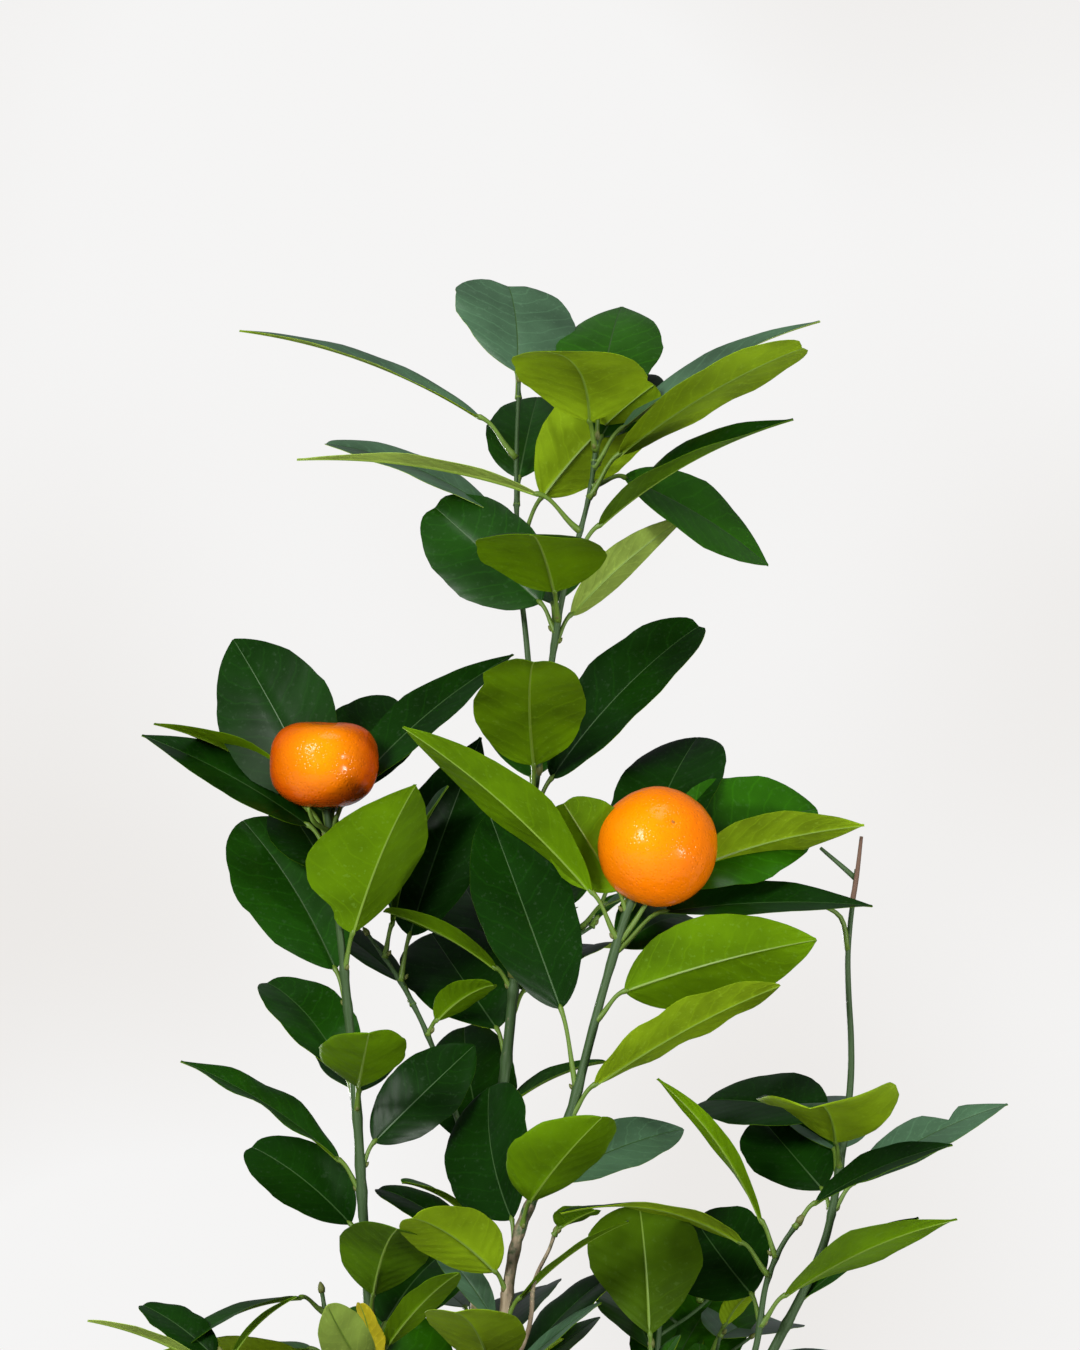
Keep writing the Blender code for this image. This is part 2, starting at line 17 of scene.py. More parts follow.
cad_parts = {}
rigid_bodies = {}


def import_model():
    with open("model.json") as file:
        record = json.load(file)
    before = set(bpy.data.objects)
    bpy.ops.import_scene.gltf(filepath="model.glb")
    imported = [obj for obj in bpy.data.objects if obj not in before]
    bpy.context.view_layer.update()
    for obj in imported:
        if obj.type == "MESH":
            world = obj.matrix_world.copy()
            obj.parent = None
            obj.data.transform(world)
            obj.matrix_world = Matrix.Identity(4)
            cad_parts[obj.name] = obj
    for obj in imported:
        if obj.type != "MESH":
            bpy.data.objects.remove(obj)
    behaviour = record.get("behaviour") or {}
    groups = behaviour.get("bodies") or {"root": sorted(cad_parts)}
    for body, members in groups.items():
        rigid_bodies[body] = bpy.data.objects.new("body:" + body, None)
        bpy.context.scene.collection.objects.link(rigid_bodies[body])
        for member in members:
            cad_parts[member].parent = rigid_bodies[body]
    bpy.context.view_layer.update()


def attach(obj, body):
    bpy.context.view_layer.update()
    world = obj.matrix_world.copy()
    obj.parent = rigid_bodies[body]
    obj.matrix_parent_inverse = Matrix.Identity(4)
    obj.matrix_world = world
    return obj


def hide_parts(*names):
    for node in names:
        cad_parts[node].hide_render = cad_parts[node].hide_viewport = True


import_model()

# The studio. A pale floor and an off-white backdrop stand round the tree, with a large soft lamp in front
# at the upper left, a small low one at the right, a faint one above and a small low one behind. The
# backdrop is mottled with soft blotches of painted shadow. What the glossy leaves mirror is dimmer than the
# backdrop, as in a dark room. None of this is part of the tree.
MM = 0.001
PHOTO_HEIGHT = 1350      # px
PHOTO_SCALE = 3          # px for each mm at the tree's middle
PHOTO_MIDDLE = (20, 595) # x and height at the middle of the photograph, mm
CAMERA_AWAY = 3000
SENSOR = 36
# The backdrop's darker colour is painted shadow, laid in soft blotches over its lighter one.
BACKDROP_AND_PAINTED_SHADOW = ((0.84, 0.82, 0.80), (0.915, 0.91, 0.905))
ROOM = (0.17, 0.175, 0.185)
FLOOR_RADIUS = 2.5       # m
FLOOR_PAINT = (0.80, 0.79, 0.78)
LAMPS = (                # name, place and size in metres, power in watts
    ("upper_left_lamp", (-1.5, -2.4, 1.7), 1.0, 88),
    ("low_right_lamp", (1.9, -1.9, 0.35), 0.35, 30),
    ("top_lamp", (0.3, -0.7, 2.6), 1.2, 14),
    ("back_lamp", (-1.1, 2.5, 0.22), 0.4, 32),
)


def new_object(name, data):
    """A new object in the scene, at the origin."""
    made = bpy.data.objects.new(name, data)
    bpy.context.scene.collection.objects.link(made)
    return made


def feed(tree, shader, inputs):
    """Gives each of a node's inputs a value, or a link from another node's output."""
    for name, given in inputs.items():
        socket = shader.inputs[name]
        if isinstance(given, bpy.types.NodeSocket):
            tree.links.new(given, socket)
        else:
            socket.default_value = (*given, 1) if socket.type == "RGBA" else given


def node(tree, kind, inputs=None, **settings):
    """The outputs of a new shader node."""
    made = tree.nodes.new("ShaderNode" + kind)
    for name, value in settings.items():
        setattr(made, name, value)
    feed(tree, made, inputs or {})
    return made.outputs


def noise_at(tree, place, scale, detail=2, roughness=0.5):
    """Noise from 0 to 1 at a place."""
    return node(tree, "TexNoise", {"Vector": place, "Scale": scale, "Detail": detail,
                                   "Roughness": roughness})["Fac"]


def ramped(tree, value, *stops):
    """The colour of a value on a ramp with two stops, each a position and a colour."""
    made = tree.nodes.new("ShaderNodeValToRGB")
    feed(tree, made, {"Fac": value})
    for element, (position, colour) in zip(made.color_ramp.elements, stops):
        element.position = position
        element.color = (*colour, 1)
    return made.outputs["Color"]


def ranged(tree, value, start, end, low=0, high=1, ease="LINEAR"):
    """A value carried over from one range to another, and kept within it."""
    return node(tree, "MapRange", {"Value": value, "From Min": start, "From Max": end, "To Min": low,
                                   "To Max": high}, interpolation_type=ease)["Result"]


def new_material(name, colour, roughness):
    """A material with a plain Principled surface, with that surface and the tree of its nodes."""
    made = bpy.data.materials.new(name)
    made.use_nodes = True
    tree = made.node_tree
    surface = tree.nodes["Principled BSDF"]
    feed(tree, surface, {"Base Color": colour, "Roughness": roughness})
    return made, surface, tree


def new_piece(name, mesh, *finishes):
    """A piece at the origin with a mesh and its materials."""
    for finish in finishes:
        mesh.materials.append(finish)
    return new_object(name, mesh)


def finish_mesh(bm, name, *finishes):
    """Turns a bmesh into a smooth-shaded piece."""
    mesh = bpy.data.meshes.new(name)
    bm.to_mesh(mesh)
    bm.free()
    mesh.shade_smooth()
    return new_piece(name, mesh, *finishes)


middle = Vector((PHOTO_MIDDLE[0], 0, PHOTO_MIDDLE[1])) * MM
camera = bpy.data.cameras.new("camera")
camera.sensor_fit = "VERTICAL"
camera.sensor_height = SENSOR
camera.lens = SENSOR * CAMERA_AWAY * PHOTO_SCALE / PHOTO_HEIGHT
viewer = new_object("camera", camera)
viewer.location = (PHOTO_MIDDLE[0] * MM, -CAMERA_AWAY * MM, PHOTO_MIDDLE[1] * MM)
viewer.rotation_euler = (math.radians(90), 0, 0)
bpy.context.scene.camera = viewer
bpy.context.scene.view_settings.view_transform = "Standard"

for name, place, size, power in LAMPS:
    light = bpy.data.lights.new(name, "AREA")
    light.shape = "DISK"
    light.size = size
    light.energy = power
    lamp = new_object(name, light)
    lamp.location = place
    lamp.rotation_euler = (middle - lamp.location).to_track_quat("-Z", "Y").to_euler()

world = bpy.data.worlds.new("studio")
world.use_nodes = True
bpy.context.scene.world = world
tree = world.node_tree
tree.nodes.clear()
# Painted shadow: the backdrop is mottled with soft blotches of a darker off-white.
painted_shadow_blotches = noise_at(tree, node(tree, "TexCoord")["Generated"], scale=11, detail=1)
backdrop_with_painted_shadow = ramped(tree, painted_shadow_blotches, (0.3, BACKDROP_AND_PAINTED_SHADOW[0]), (0.55, BACKDROP_AND_PAINTED_SHADOW[1]))
room = node(tree, "Background", {"Color": ROOM})["Background"]
backdrop = node(tree, "Background", {"Color": backdrop_with_painted_shadow})["Background"]
seen = node(tree, "LightPath")["Is Camera Ray"]
either = node(tree, "MixShader", {"Fac": seen, 1: room, 2: backdrop})["Shader"]
node(tree, "OutputWorld", {"Surface": either})

bm = bmesh.new()
bmesh.ops.create_circle(bm, cap_ends=True, segments=96, radius=FLOOR_RADIUS)
floor_paint, surface, tree = new_material("floor_paint", FLOOR_PAINT, 0.7)
dapple = noise_at(tree, node(tree, "TexCoord")["Object"], scale=1.5)
dapple = ranged(tree, dapple, 0, 1, low=0.66, high=0.74)
feed(tree, surface, {"Specular IOR Level": 0.08, "Roughness": dapple})
floor = finish_mesh(bm, "floor", floor_paint)


# The pot. It is thrown in red clay and fired without glaze: a wall that widens upwards, a thick rim with
# rounded edges, and three drain holes in its floor. Its outside keeps faint rings from the wheel, and lime
# from the water has bloomed pale on it below the rim and round the foot.
POT_HEIGHT = 165
POT_TOP_RADIUS = 100
POT_FOOT_RADIUS = 68
POT_WALL = 7
POT_EDGE = 2
RIM_HEIGHT = 30
RIM_STEP = 5
DRAIN_RADIUS = 5
DRAIN_RING = 36
DRAIN_HOLES = 3
POT_STEPS = 144
WHEEL_RING = 0.25        # depth of the rings, mm
CRUST_FOOT = (0.045, 0)  # heights between which the lime fades out above the foot, m
CRUST_RIM = (0.085, 0.135)  # and comes back below the rim
CLAY = (0.46, 0.165, 0.075)
CLAY_DARK = (0.34, 0.105, 0.045)
LIME = (0.62, 0.45, 0.34)


def wall_radius(height):
    """The pot's outer radius below its rim."""
    top = POT_TOP_RADIUS - RIM_STEP
    return POT_FOOT_RADIUS + (top - POT_FOOT_RADIUS) * height / (POT_HEIGHT - RIM_HEIGHT)


def rounded(profile, cut, steps=4):
    """The profile with each inner corner cut back by a smooth arc of up to the given size."""
    points = [Vector(p) for p in profile]
    line = [points[0]]
    for before, corner, after in zip(points, points[1:], points[2:]):
        reach_in = min(cut, (before - corner).length / 2.2)
        reach_out = min(cut, (after - corner).length / 2.2)
        start = corner + (before - corner).normalized() * reach_in
        end = corner + (after - corner).normalized() * reach_out
        for step in range(steps + 1):
            t = step / steps
            line.append(start * (1 - t) ** 2 + corner * 2 * t * (1 - t) + end * t * t)
    line.append(points[-1])
    return line


def divided(line, longest):
    """The line with its long stretches divided."""
    out = [line[0]]
    for near, far in zip(line, line[1:]):
        count = max(1, math.ceil((far - near).length / longest))
        out += [near.lerp(far, step / count) for step in range(1, count + 1)]
    return out


def spun(line, steps):
    """A closed bmesh from a profile of radius and height, spun round the Z axis."""
    bm = bmesh.new()
    knots = [bm.verts.new((radius * MM, 0, height * MM)) for radius, height in line]
    edges = [bm.edges.new(pair) for pair in zip(knots, knots[1:])]
    bmesh.ops.spin(bm, geom=[*knots, *edges], cent=(0, 0, 0), axis=(0, 0, 1), dvec=(0, 0, 0),
                   angle=2 * math.pi, steps=steps, use_merge=True, use_duplicate=False)
    bmesh.ops.remove_doubles(bm, verts=bm.verts, dist=0.01 * MM)
    bmesh.ops.recalc_face_normals(bm, faces=bm.faces)
    return bm


knee = POT_HEIGHT - RIM_HEIGHT
bore = POT_TOP_RADIUS - POT_WALL
profile = ((0, POT_WALL), (wall_radius(POT_WALL) - POT_WALL, POT_WALL),
           (wall_radius(knee) - POT_WALL, knee), (bore, POT_HEIGHT), (POT_TOP_RADIUS, POT_HEIGHT),
           (POT_TOP_RADIUS - POT_EDGE / 2, knee), (wall_radius(knee), knee), (POT_FOOT_RADIUS, 0), (0, 0))
bm = spun(divided(rounded(profile, POT_EDGE), 3), POT_STEPS)
for vert in bm.verts:
    height = vert.co.z / MM
    radius = vert.co.xy.length / MM
    if radius > POT_FOOT_RADIUS / 2 and height > POT_EDGE:
        wheel = math.sin(height * 1.7 + 2 * noise.noise(Vector((0, 0, height / 9)))) * WHEEL_RING * 0.5
        drift = noise.noise(vert.co * 18) * WHEEL_RING * 1.6
        vert.co.xy *= 1 + (wheel + drift) / radius
holes = bmesh.new()
for hole in range(DRAIN_HOLES):
    around = 2 * math.pi * hole / DRAIN_HOLES
    where = Vector((DRAIN_RING * math.cos(around), DRAIN_RING * math.sin(around), POT_WALL / 2)) * MM
    bmesh.ops.create_cone(holes, cap_ends=True, segments=32, depth=3 * POT_WALL * MM,
                          radius1=DRAIN_RADIUS * MM, radius2=DRAIN_RADIUS * MM,
                          matrix=Matrix.Translation(where))


def calc(tree, operation, *terms):
    """The result of a sum on values."""
    return node(tree, "Math", dict(enumerate(terms)), operation=operation)["Value"]


def mixed(tree, share, first, second):
    """A mix of two colours."""
    return node(tree, "Mix", {"Factor": share, "A": first, "B": second}, data_type="RGBA")["Result"]


def bumped(tree, height, strength, distance):
    """The normal of a surface with a fine relief, whose depth is in metres."""
    return node(tree, "Bump", {"Height": height, "Strength": strength, "Distance": distance})["Normal"]


def applied(blank):
    """The mesh of an object with its modifiers applied. The object itself goes."""
    mesh = bpy.data.meshes.new_from_object(blank.evaluated_get(bpy.context.evaluated_depsgraph_get()))
    bpy.data.objects.remove(blank)
    return mesh


clay, surface, tree = new_material("clay", CLAY, 0.86)
place = node(tree, "TexCoord")["Object"]
height = node(tree, "SeparateXYZ", {"Vector": place})["Z"]
tone = ranged(tree, noise_at(tree, place, scale=16, detail=6), 0.3, 0.62)
damp = calc(tree, "MAXIMUM", ranged(tree, height, *CRUST_FOOT), ranged(tree, height, *CRUST_RIM))
crust = calc(tree, "MULTIPLY", damp, noise_at(tree, place, scale=30, detail=10, roughness=0.66))
limed = mixed(tree, ranged(tree, crust, 0.22, 0.52, high=0.5), mixed(tree, tone, CLAY_DARK, CLAY), LIME)
grain = noise_at(tree, place, scale=900, detail=4)
feed(tree, surface, {"Base Color": limed, "Normal": bumped(tree, grain, 0.35, 0.0004)})

cutter = finish_mesh(holes, "drain_cutter")
blank = finish_mesh(bm, "pot_blank", clay)
cut = blank.modifiers.new("drain", "BOOLEAN")
cut.operation = "DIFFERENCE"
cut.object = cutter
drilled = applied(blank)
bpy.data.objects.remove(cutter)
drilled.set_sharp_from_angle(angle=math.radians(50))
pot = new_object("clay_pot", drilled)
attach(pot, "root")
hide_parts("pot")


# The soil. Dark potting soil fills the pot to a finger below the rim and rises a little to the trunk. Its
# top is crumbly, with clods of peat, slivers of bark and a few white grains of perlite pressed into it.
SOIL_TOP = 150
SOIL_DOME = 4
GAP = 0.3
TRUNK_FOOT_RADIUS = 13
CRUMB = 1.1              # how far the top rises and falls, mm
CRUMBS_APART = (9, 2.6)  # how far apart its coarse and fine crumbs are, mm
SOIL_SEED = 7
EARTH = (0.050, 0.031, 0.019)
SCRAPS = (               # name, colour, how many, their sizes in mm, and their shape
    ("clods", (0.040, 0.024, 0.014), 520, (0.9, 2.6), (1, 1, 0.8)),
    ("bark_slivers", (0.135, 0.072, 0.036), 170, (1.2, 3.2), (1.5, 0.6, 0.3)),
    ("perlite", (0.62, 0.60, 0.56), 60, (0.7, 1.5), (1, 1, 0.9)),
)

edge_height = SOIL_TOP - SOIL_DOME
at_knee = wall_radius(knee) - POT_WALL - GAP
at_lip = bore - GAP
at_edge = at_knee + (at_lip - at_knee) * (edge_height - knee) / (RIM_HEIGHT - POT_EDGE)
profile = [Vector(p) for p in ((0, SOIL_TOP), (2 * TRUNK_FOOT_RADIUS, SOIL_TOP), (at_edge, edge_height),
                               (at_knee, knee), (wall_radius(POT_WALL) - POT_WALL - GAP, POT_WALL + GAP),
                               (0, POT_WALL + GAP))]
bm = spun([*divided(profile[:3], 1.2), *divided(profile[2:4], 3)[1:], *profile[4:]], POT_STEPS)


def crumbly(x, y):
    """The rise of the soil's top at a place, in mm, which dies away at the wall."""
    inward = min(1, (at_edge - math.hypot(x, y)) / 4)
    coarse = noise.noise(Vector((x, y, 0)) / CRUMBS_APART[0])
    fine = noise.noise(Vector((x, y, 5)) / CRUMBS_APART[1])
    return max(0, inward) * CRUMB * (coarse + 0.7 * fine)


for vert in bm.verts:
    if vert.co.z > (edge_height - 0.1) * MM:
        vert.co.z += crumbly(vert.co.x / MM, vert.co.y / MM) * MM


def earthy(name, colour, scale):
    """A dull earthy finish with darker and lighter crumbs."""
    made, surface, tree = new_material(name, colour, 0.95)
    crumbs = noise_at(tree, node(tree, "TexCoord")["Object"], scale, detail=8)
    tones = ramped(tree, crumbs, (0.35, [c * 0.45 for c in colour]), (0.68, [c * 1.5 for c in colour]))
    feed(tree, surface, {"Base Color": tones, "Normal": bumped(tree, crumbs, 0.7, 0.0008)})
    return made


def joined_mesh(name, parts, finishes, uv_name=None):
    """One piece from parts of (points in mm, faces, material of each face[, uv of each point])."""
    points, faces, kinds, marks = [], [], [], []
    start = 0
    for part in parts:
        points.append(part[0])
        faces += [tuple(corner + start for corner in face) for face in part[1]]
        kinds.append(part[2])
        if uv_name:
            marks.append(part[3])
        start += len(part[0])
    mesh = bpy.data.meshes.new(name)
    mesh.from_pydata((np.vstack(points) * MM).tolist(), [], faces)
    mesh.shade_smooth()
    mesh.polygons.foreach_set("material_index", np.concatenate(kinds).astype(np.int32))
    if uv_name:
        corner = np.zeros(len(mesh.loops), np.int32)
        mesh.loops.foreach_get("vertex_index", corner)
        layer = mesh.uv_layers.new(name=uv_name)
        layer.data.foreach_set("uv", np.vstack(marks)[corner].astype(np.float32).ravel())
    return new_piece(name, mesh, *finishes)


def template(bm):
    """The points, in units, and the faces of a small shape that is used many times."""
    points = np.array([vert.co[:] for vert in bm.verts])
    faces = [tuple(vert.index for vert in face.verts) for face in bm.faces]
    bm.free()
    return points, faces


soil = finish_mesh(bm, "potting_soil", earthy("potting_soil", EARTH, 420))
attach(soil, "root")
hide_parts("soil")

bm = bmesh.new()
bmesh.ops.create_icosphere(bm, subdivisions=2, radius=1)
ball_points, ball_faces = template(bm)
rng = random.Random(SOIL_SEED)
parts = []
for kind, (_, _, count, sizes, shape) in enumerate(SCRAPS):
    for _ in range(count):
        reach = (at_edge - 3) * math.sqrt(rng.uniform(0.03, 1))
        around = rng.uniform(0, 2 * math.pi)
        x, y = reach * math.cos(around), reach * math.sin(around)
        size = rng.uniform(*sizes)
        slope = max(0, (reach - 2 * TRUNK_FOOT_RADIUS) / (at_edge - 2 * TRUNK_FOOT_RADIUS))
        top = SOIL_TOP - SOIL_DOME * slope + crumbly(x, y) + size * shape[2] * 0.25
        turn = np.array(Matrix.Rotation(rng.uniform(0, math.pi), 3, "Z")
                        @ Matrix.Rotation(rng.uniform(-0.5, 0.5), 3, "X"))
        lumps = 1 + 0.35 * np.array([noise.noise(Vector(p) * 1.6 + Vector((x, y, 0))) for p in ball_points])
        points = (ball_points * lumps[:, None] * size * np.array(shape)) @ turn.T + (x, y, top)
        parts.append((points, ball_faces, np.full(len(ball_faces), kind)))
scraps = joined_mesh("soil_crumbs", parts, [earthy(name, colour, 700) for name, colour, *_ in SCRAPS])
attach(scraps, "root")
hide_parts("soil")


# The trunk and boughs. A short woody trunk flares at its foot and forks into seven upright shoots. Thin
# brown bark with pale lengthwise streaks covers them, and higher up the green wood shows through it. They
# are one growth, so one mesh holds them all, swollen together where they part.
SHOOTS = {
    "left": dict(
        points=((0, 0, 214), (-14, 3, 262), (-28, 5, 320), (-36, 6, 370), (-41, 4, 447), (-45, 3, 493),
                (-47, 1, 512), (-51, -1, 551)),
        radii=(3.7, 1.6), span=(246, 345)),
    "centre": dict(
        points=((1, 2, 216), (2, 10, 270), (0, 18, 330), (-1, 22, 397), (8, 24, 460), (12, 20, 500),
                (15, 17, 530), (19, 15, 562)),
        radii=(4.3, 1.8), span=(248, 384)),
    "right": dict(
        points=((2, -2, 214), (3, -15, 265), (3, -19, 320), (7, -19, 370), (13, -18, 410), (28, -18, 443),
                (40, -17, 487), (49, -16, 517), (54, -16, 526)),
        radii=(3.9, 1.6), span=(246, 344)),
    "far_right": dict(
        points=((3, -1, 210), (25, 2, 238), (55, 6, 285), (80, 9, 335), (100, 11, 373), (112, 12, 397),
                (118, 12, 417), (124, 12, 460), (123, 12, 500), (126, 12, 530)),
        radii=(3.6, 1.2), span=(234, 340)),
    "low_left": dict(
        points=((0, 0, 203), (-22, -4, 236), (-52, -6, 290), (-78, -6, 338), (-86, -6, 368)),
        radii=(3.2, 1.3), span=(222, 306)),
    "back": dict(
        points=((0, 2, 206), (-6, 28, 240), (-6, 46, 330), (-1, 60, 397), (8, 64, 460), (12, 68, 500)),
        radii=(3.4, 1.3), span=(233, 318)),
    "front": dict(
        points=((1, -1, 198), (12, -24, 226), (20, -46, 275), (22, -58, 326)),
        radii=(3.2, 1.3), span=(219, 262)),
}
TRUNK_SIZES = ((0, 13), (6, 10.4), (18, 8.6), (40, 7.8), (60, 7.4))
TRUNK_FORK = 226
FORK_RADIUS = 5.5
FORK_LEAN = (1, 1)
VOXEL = 0.75             # mm
BARK_RELIEF = 0.28       # mm
ROOT_RIDGES = 5
ROOT_FLARE = (1.3, 9)    # how far they stand out at the foot, and the height that they fade over, mm
SLIM = 0.66              # share of the solids' thickness that the wood has above these heights
SLIM_HEIGHTS = (240, 360)
BARK = (0.20, 0.145, 0.085)
BARK_PALE = (0.42, 0.34, 0.215)
BARK_GREEN = (0.075, 0.105, 0.022)
BARK_ENDS = (330, 450)   # heights between which the bark gives way to green wood


def smooth_route(points, radii, per_stretch=3):
    """(point, radius) pairs on a Catmull-Rom curve through the points, with the radius tapering evenly."""
    knots = [Vector(p) for p in points]
    ends = [2 * knots[0] - knots[1], *knots, 2 * knots[-1] - knots[-2]]
    line = []
    for a, b, c, d in zip(ends, ends[1:], ends[2:], ends[3:]):
        for step in range(per_stretch):
            t = step / per_stretch
            line.append(0.5 * (2 * b + (c - a) * t + (2 * a - 5 * b + 4 * c - d) * t * t
                               + (3 * b - a - 3 * c + d) * t ** 3))
    line.append(knots[-1])
    return [(p, radii[0] + (radii[1] - radii[0]) * i / (len(line) - 1)) for i, p in enumerate(line)]


def at_height(route, height):
    """The point and radius where a rising route passes a height."""
    for (low, r_low), (high, r_high) in zip(route, route[1:]):
        if height <= high.z:
            t = (height - low.z) / (high.z - low.z)
            return low.lerp(high, t), r_low + (r_high - r_low) * t
    return route[-1]


def eased(route, per_stretch):
    """The route smoothed through its points, with more of them."""
    fine = smooth_route([p for p, _ in route], (1, 1), per_stretch)
    sizes = np.interp(np.linspace(0, 1, len(fine)), np.linspace(0, 1, len(route)), [r for _, r in route])
    return [(p, size) for (p, _), size in zip(fine, sizes)]


def refined(route, low, high, spacing):
    """The part of a rising route between two heights, eased through its points and closely divided."""
    inside = [pair for pair in route if low + 1 < pair[0].z < high - 1]
    line = [at_height(route, low), *inside, at_height(route, high)]
    return eased(line, max(2, round((high - low) / spacing / len(line))))


def slimmer(route):
    """The route with the young wood high up drawn a little thinner."""
    return [(p, r * np.interp(p.z, SLIM_HEIGHTS, (1, SLIM))) for p, r in route]


def tubes(routes, resolution, kinds=None):
    """One mesh of tapering tubes with closed ends, through (point, radius) pairs in mm."""
    curve = bpy.data.curves.new("tubes", "CURVE")
    curve.dimensions = "3D"
    curve.bevel_depth = MM
    curve.bevel_resolution = resolution
    curve.use_fill_caps = True
    for number in range(max(kinds or [0]) + 1):
        curve.materials.append(None)
    for number, route in enumerate(routes):
        spline = curve.splines.new("POLY")
        spline.points.add(len(route) - 1)
        spline.points.foreach_set("co", [c for point, _ in route for c in (*(point * MM), 1)])
        spline.points.foreach_set("radius", [radius for _, radius in route])
        spline.use_smooth = True
        spline.material_index = kinds[number] if kinds else 0
    guide = new_object("tubes", curve)
    bpy.context.view_layer.update()
    bm = bmesh.new()
    bm.from_mesh(applied(guide))
    bmesh.ops.remove_doubles(bm, verts=bm.verts, dist=0.01 * MM)
    return bm


routes = {name: smooth_route(shoot["points"], shoot["radii"]) for name, shoot in SHOOTS.items()}
foot = SOIL_TOP + GAP
rise = TRUNK_FORK - foot
heights = np.linspace(0, rise, 30)
girths = np.interp(heights, *zip(*TRUNK_SIZES, (rise, FORK_RADIUS)))
limbs = [[(Vector((*FORK_LEAN, 0)) * (h / rise) + Vector((0, 0, foot + h)), girth)
          for h, girth in zip(heights, girths)]]
limbs += [slimmer(refined(routes[name], routes[name][0][0].z, shoot["span"][1], spacing=6))
          for name, shoot in SHOOTS.items()]

rough_wood = finish_mesh(tubes(limbs, resolution=6), "rough_wood")
grown = rough_wood.modifiers.new("grown", "REMESH")
grown.mode = "VOXEL"
grown.voxel_size = VOXEL * MM
worn = rough_wood.modifiers.new("worn", "SMOOTH")
worn.factor = 0.6
worn.iterations = 4
bm = bmesh.new()
bm.from_mesh(applied(rough_wood))
bm.normal_update()
for vert in bm.verts:
    spot = vert.co / MM
    furrow = noise.noise(Vector((spot.x / 1.5, spot.y / 1.5, spot.z / 13)))
    flake = noise.noise(Vector((spot.x / 2.4, spot.y / 2.4, spot.z / 4)) + Vector((9, 0, 0)))
    above = spot.z - foot
    around = math.atan2(spot.y, spot.x)
    ridges = math.cos(ROOT_RIDGES * around + noise.noise(spot / 20))
    flare = ROOT_FLARE[0] * math.exp(-above / ROOT_FLARE[1]) * ridges
    thin = min(1, max(0.25, (BARK_ENDS[0] - spot.z) / 120))
    out = BARK_RELIEF * thin * (furrow + 0.6 * flake) + (flare if above > 1 else 0)
    vert.co += vert.normal * out * MM
    vert.co.z = max(vert.co.z, foot * MM)


def new_group(name, inputs, outputs):
    """A group of shader nodes, the outputs of its input node, and its output node."""
    group = bpy.data.node_groups.new(name, "ShaderNodeTree")
    for label, kind in inputs.items():
        group.interface.new_socket(label, in_out="INPUT", socket_type="NodeSocket" + kind)
    for label in outputs:
        group.interface.new_socket(label, in_out="OUTPUT", socket_type="NodeSocketFloat")
    return group, group.nodes.new("NodeGroupInput").outputs, group.nodes.new("NodeGroupOutput")


streaks, given, result = new_group("lengthwise_streaks", {"Vector": "Vector", "Width": "Float"},
                                   ("Streak", "Flake"))
drawn = node(streaks, "Mapping", {"Vector": given["Vector"], "Scale": (1, 1, 0.09)})["Vector"]
feed(streaks, result, {"Streak": noise_at(streaks, drawn, given["Width"], detail=5),
                       "Flake": noise_at(streaks, given["Vector"], given["Width"], detail=3)})


def woody(name, fresh, ends, width, roughness):
    """Bark with pale streaks that gives way to green wood between two heights."""
    made, surface, tree = new_material(name, BARK, roughness)
    place = node(tree, "TexCoord")["Object"]
    over = node(tree, "Group", {"Vector": place, "Width": width}, node_tree=streaks)
    barked = mixed(tree, ranged(tree, over["Streak"], 0.42, 0.68), BARK, BARK_PALE)
    height = node(tree, "SeparateXYZ", {"Vector": place})["Z"]
    age = ranged(tree, height, ends[0] * MM, ends[1] * MM)
    ragged = calc(tree, "MULTIPLY_ADD", over["Flake"], 1.6, age)
    clad = mixed(tree, ranged(tree, ragged, 1.1, 1.5), barked, fresh)
    feed(tree, surface, {"Base Color": clad, "Normal": bumped(tree, over["Streak"], 0.5, 0.0003)})
    return made


trunk = finish_mesh(bm, "trunk_and_boughs", woody("bark", BARK_GREEN, BARK_ENDS, 420, 0.82))
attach(trunk, "root")
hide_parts("trunk", *("bough_" + name for name in SHOOTS))


# The leafy shoots. Green wood grows on from the end of each bough, and stiff leaves stand on it by curved
# stalks with a joint at the blade. The side that the photograph shows is set out leaf by leaf, and the rest
# grows by rule, a leaf at each joint and a leafy twig at every third, with finer twigs between them.
SHORTEST = 1             # least run between two rings of a tube, mm
SEED = 26
LOOKS_SEED = 11
LEAF_FOLD = 0.20         # rise of the margins above the midrib as a share of half the width
LEAF_BOW = 0.05          # height of the blade's arch as a share of its length
LEAF_STATIONS = ((0.14, 0.64), (0.42, 1.0), (0.7, 0.92), (0.92, 0.5))  # shares of the length and the width
STALK_SHARE = 0.18       # length of a leaf's stalk as a share of the way from its joint to its tip
STALK_RISE = 0.6
JOINT_SPACING = 7
SPACING_SPREAD = (0.85, 1.15)
GOLDEN_TURN = math.radians(137.5)
TWIG_EVERY = 3
TWIG_LENGTH = (28, 42)
TWIG_LIFT = math.radians(30)
TWIG_SAG = 2
TWIG_TAPER = (0.8, 0.7)
TWIG_TIP_RADIUS = 0.8
TWIG_LEAVES = ((0.55, 1.1), (0.8, -1.1), (0.98, 0.1))
RULE_REACH = (60, 84)
RULE_LIFT = (4, 42)
RULE_ROLL = 18
RULE_WIDTH = (0.42, 0.49)
BLADE_CLEARANCE = 10

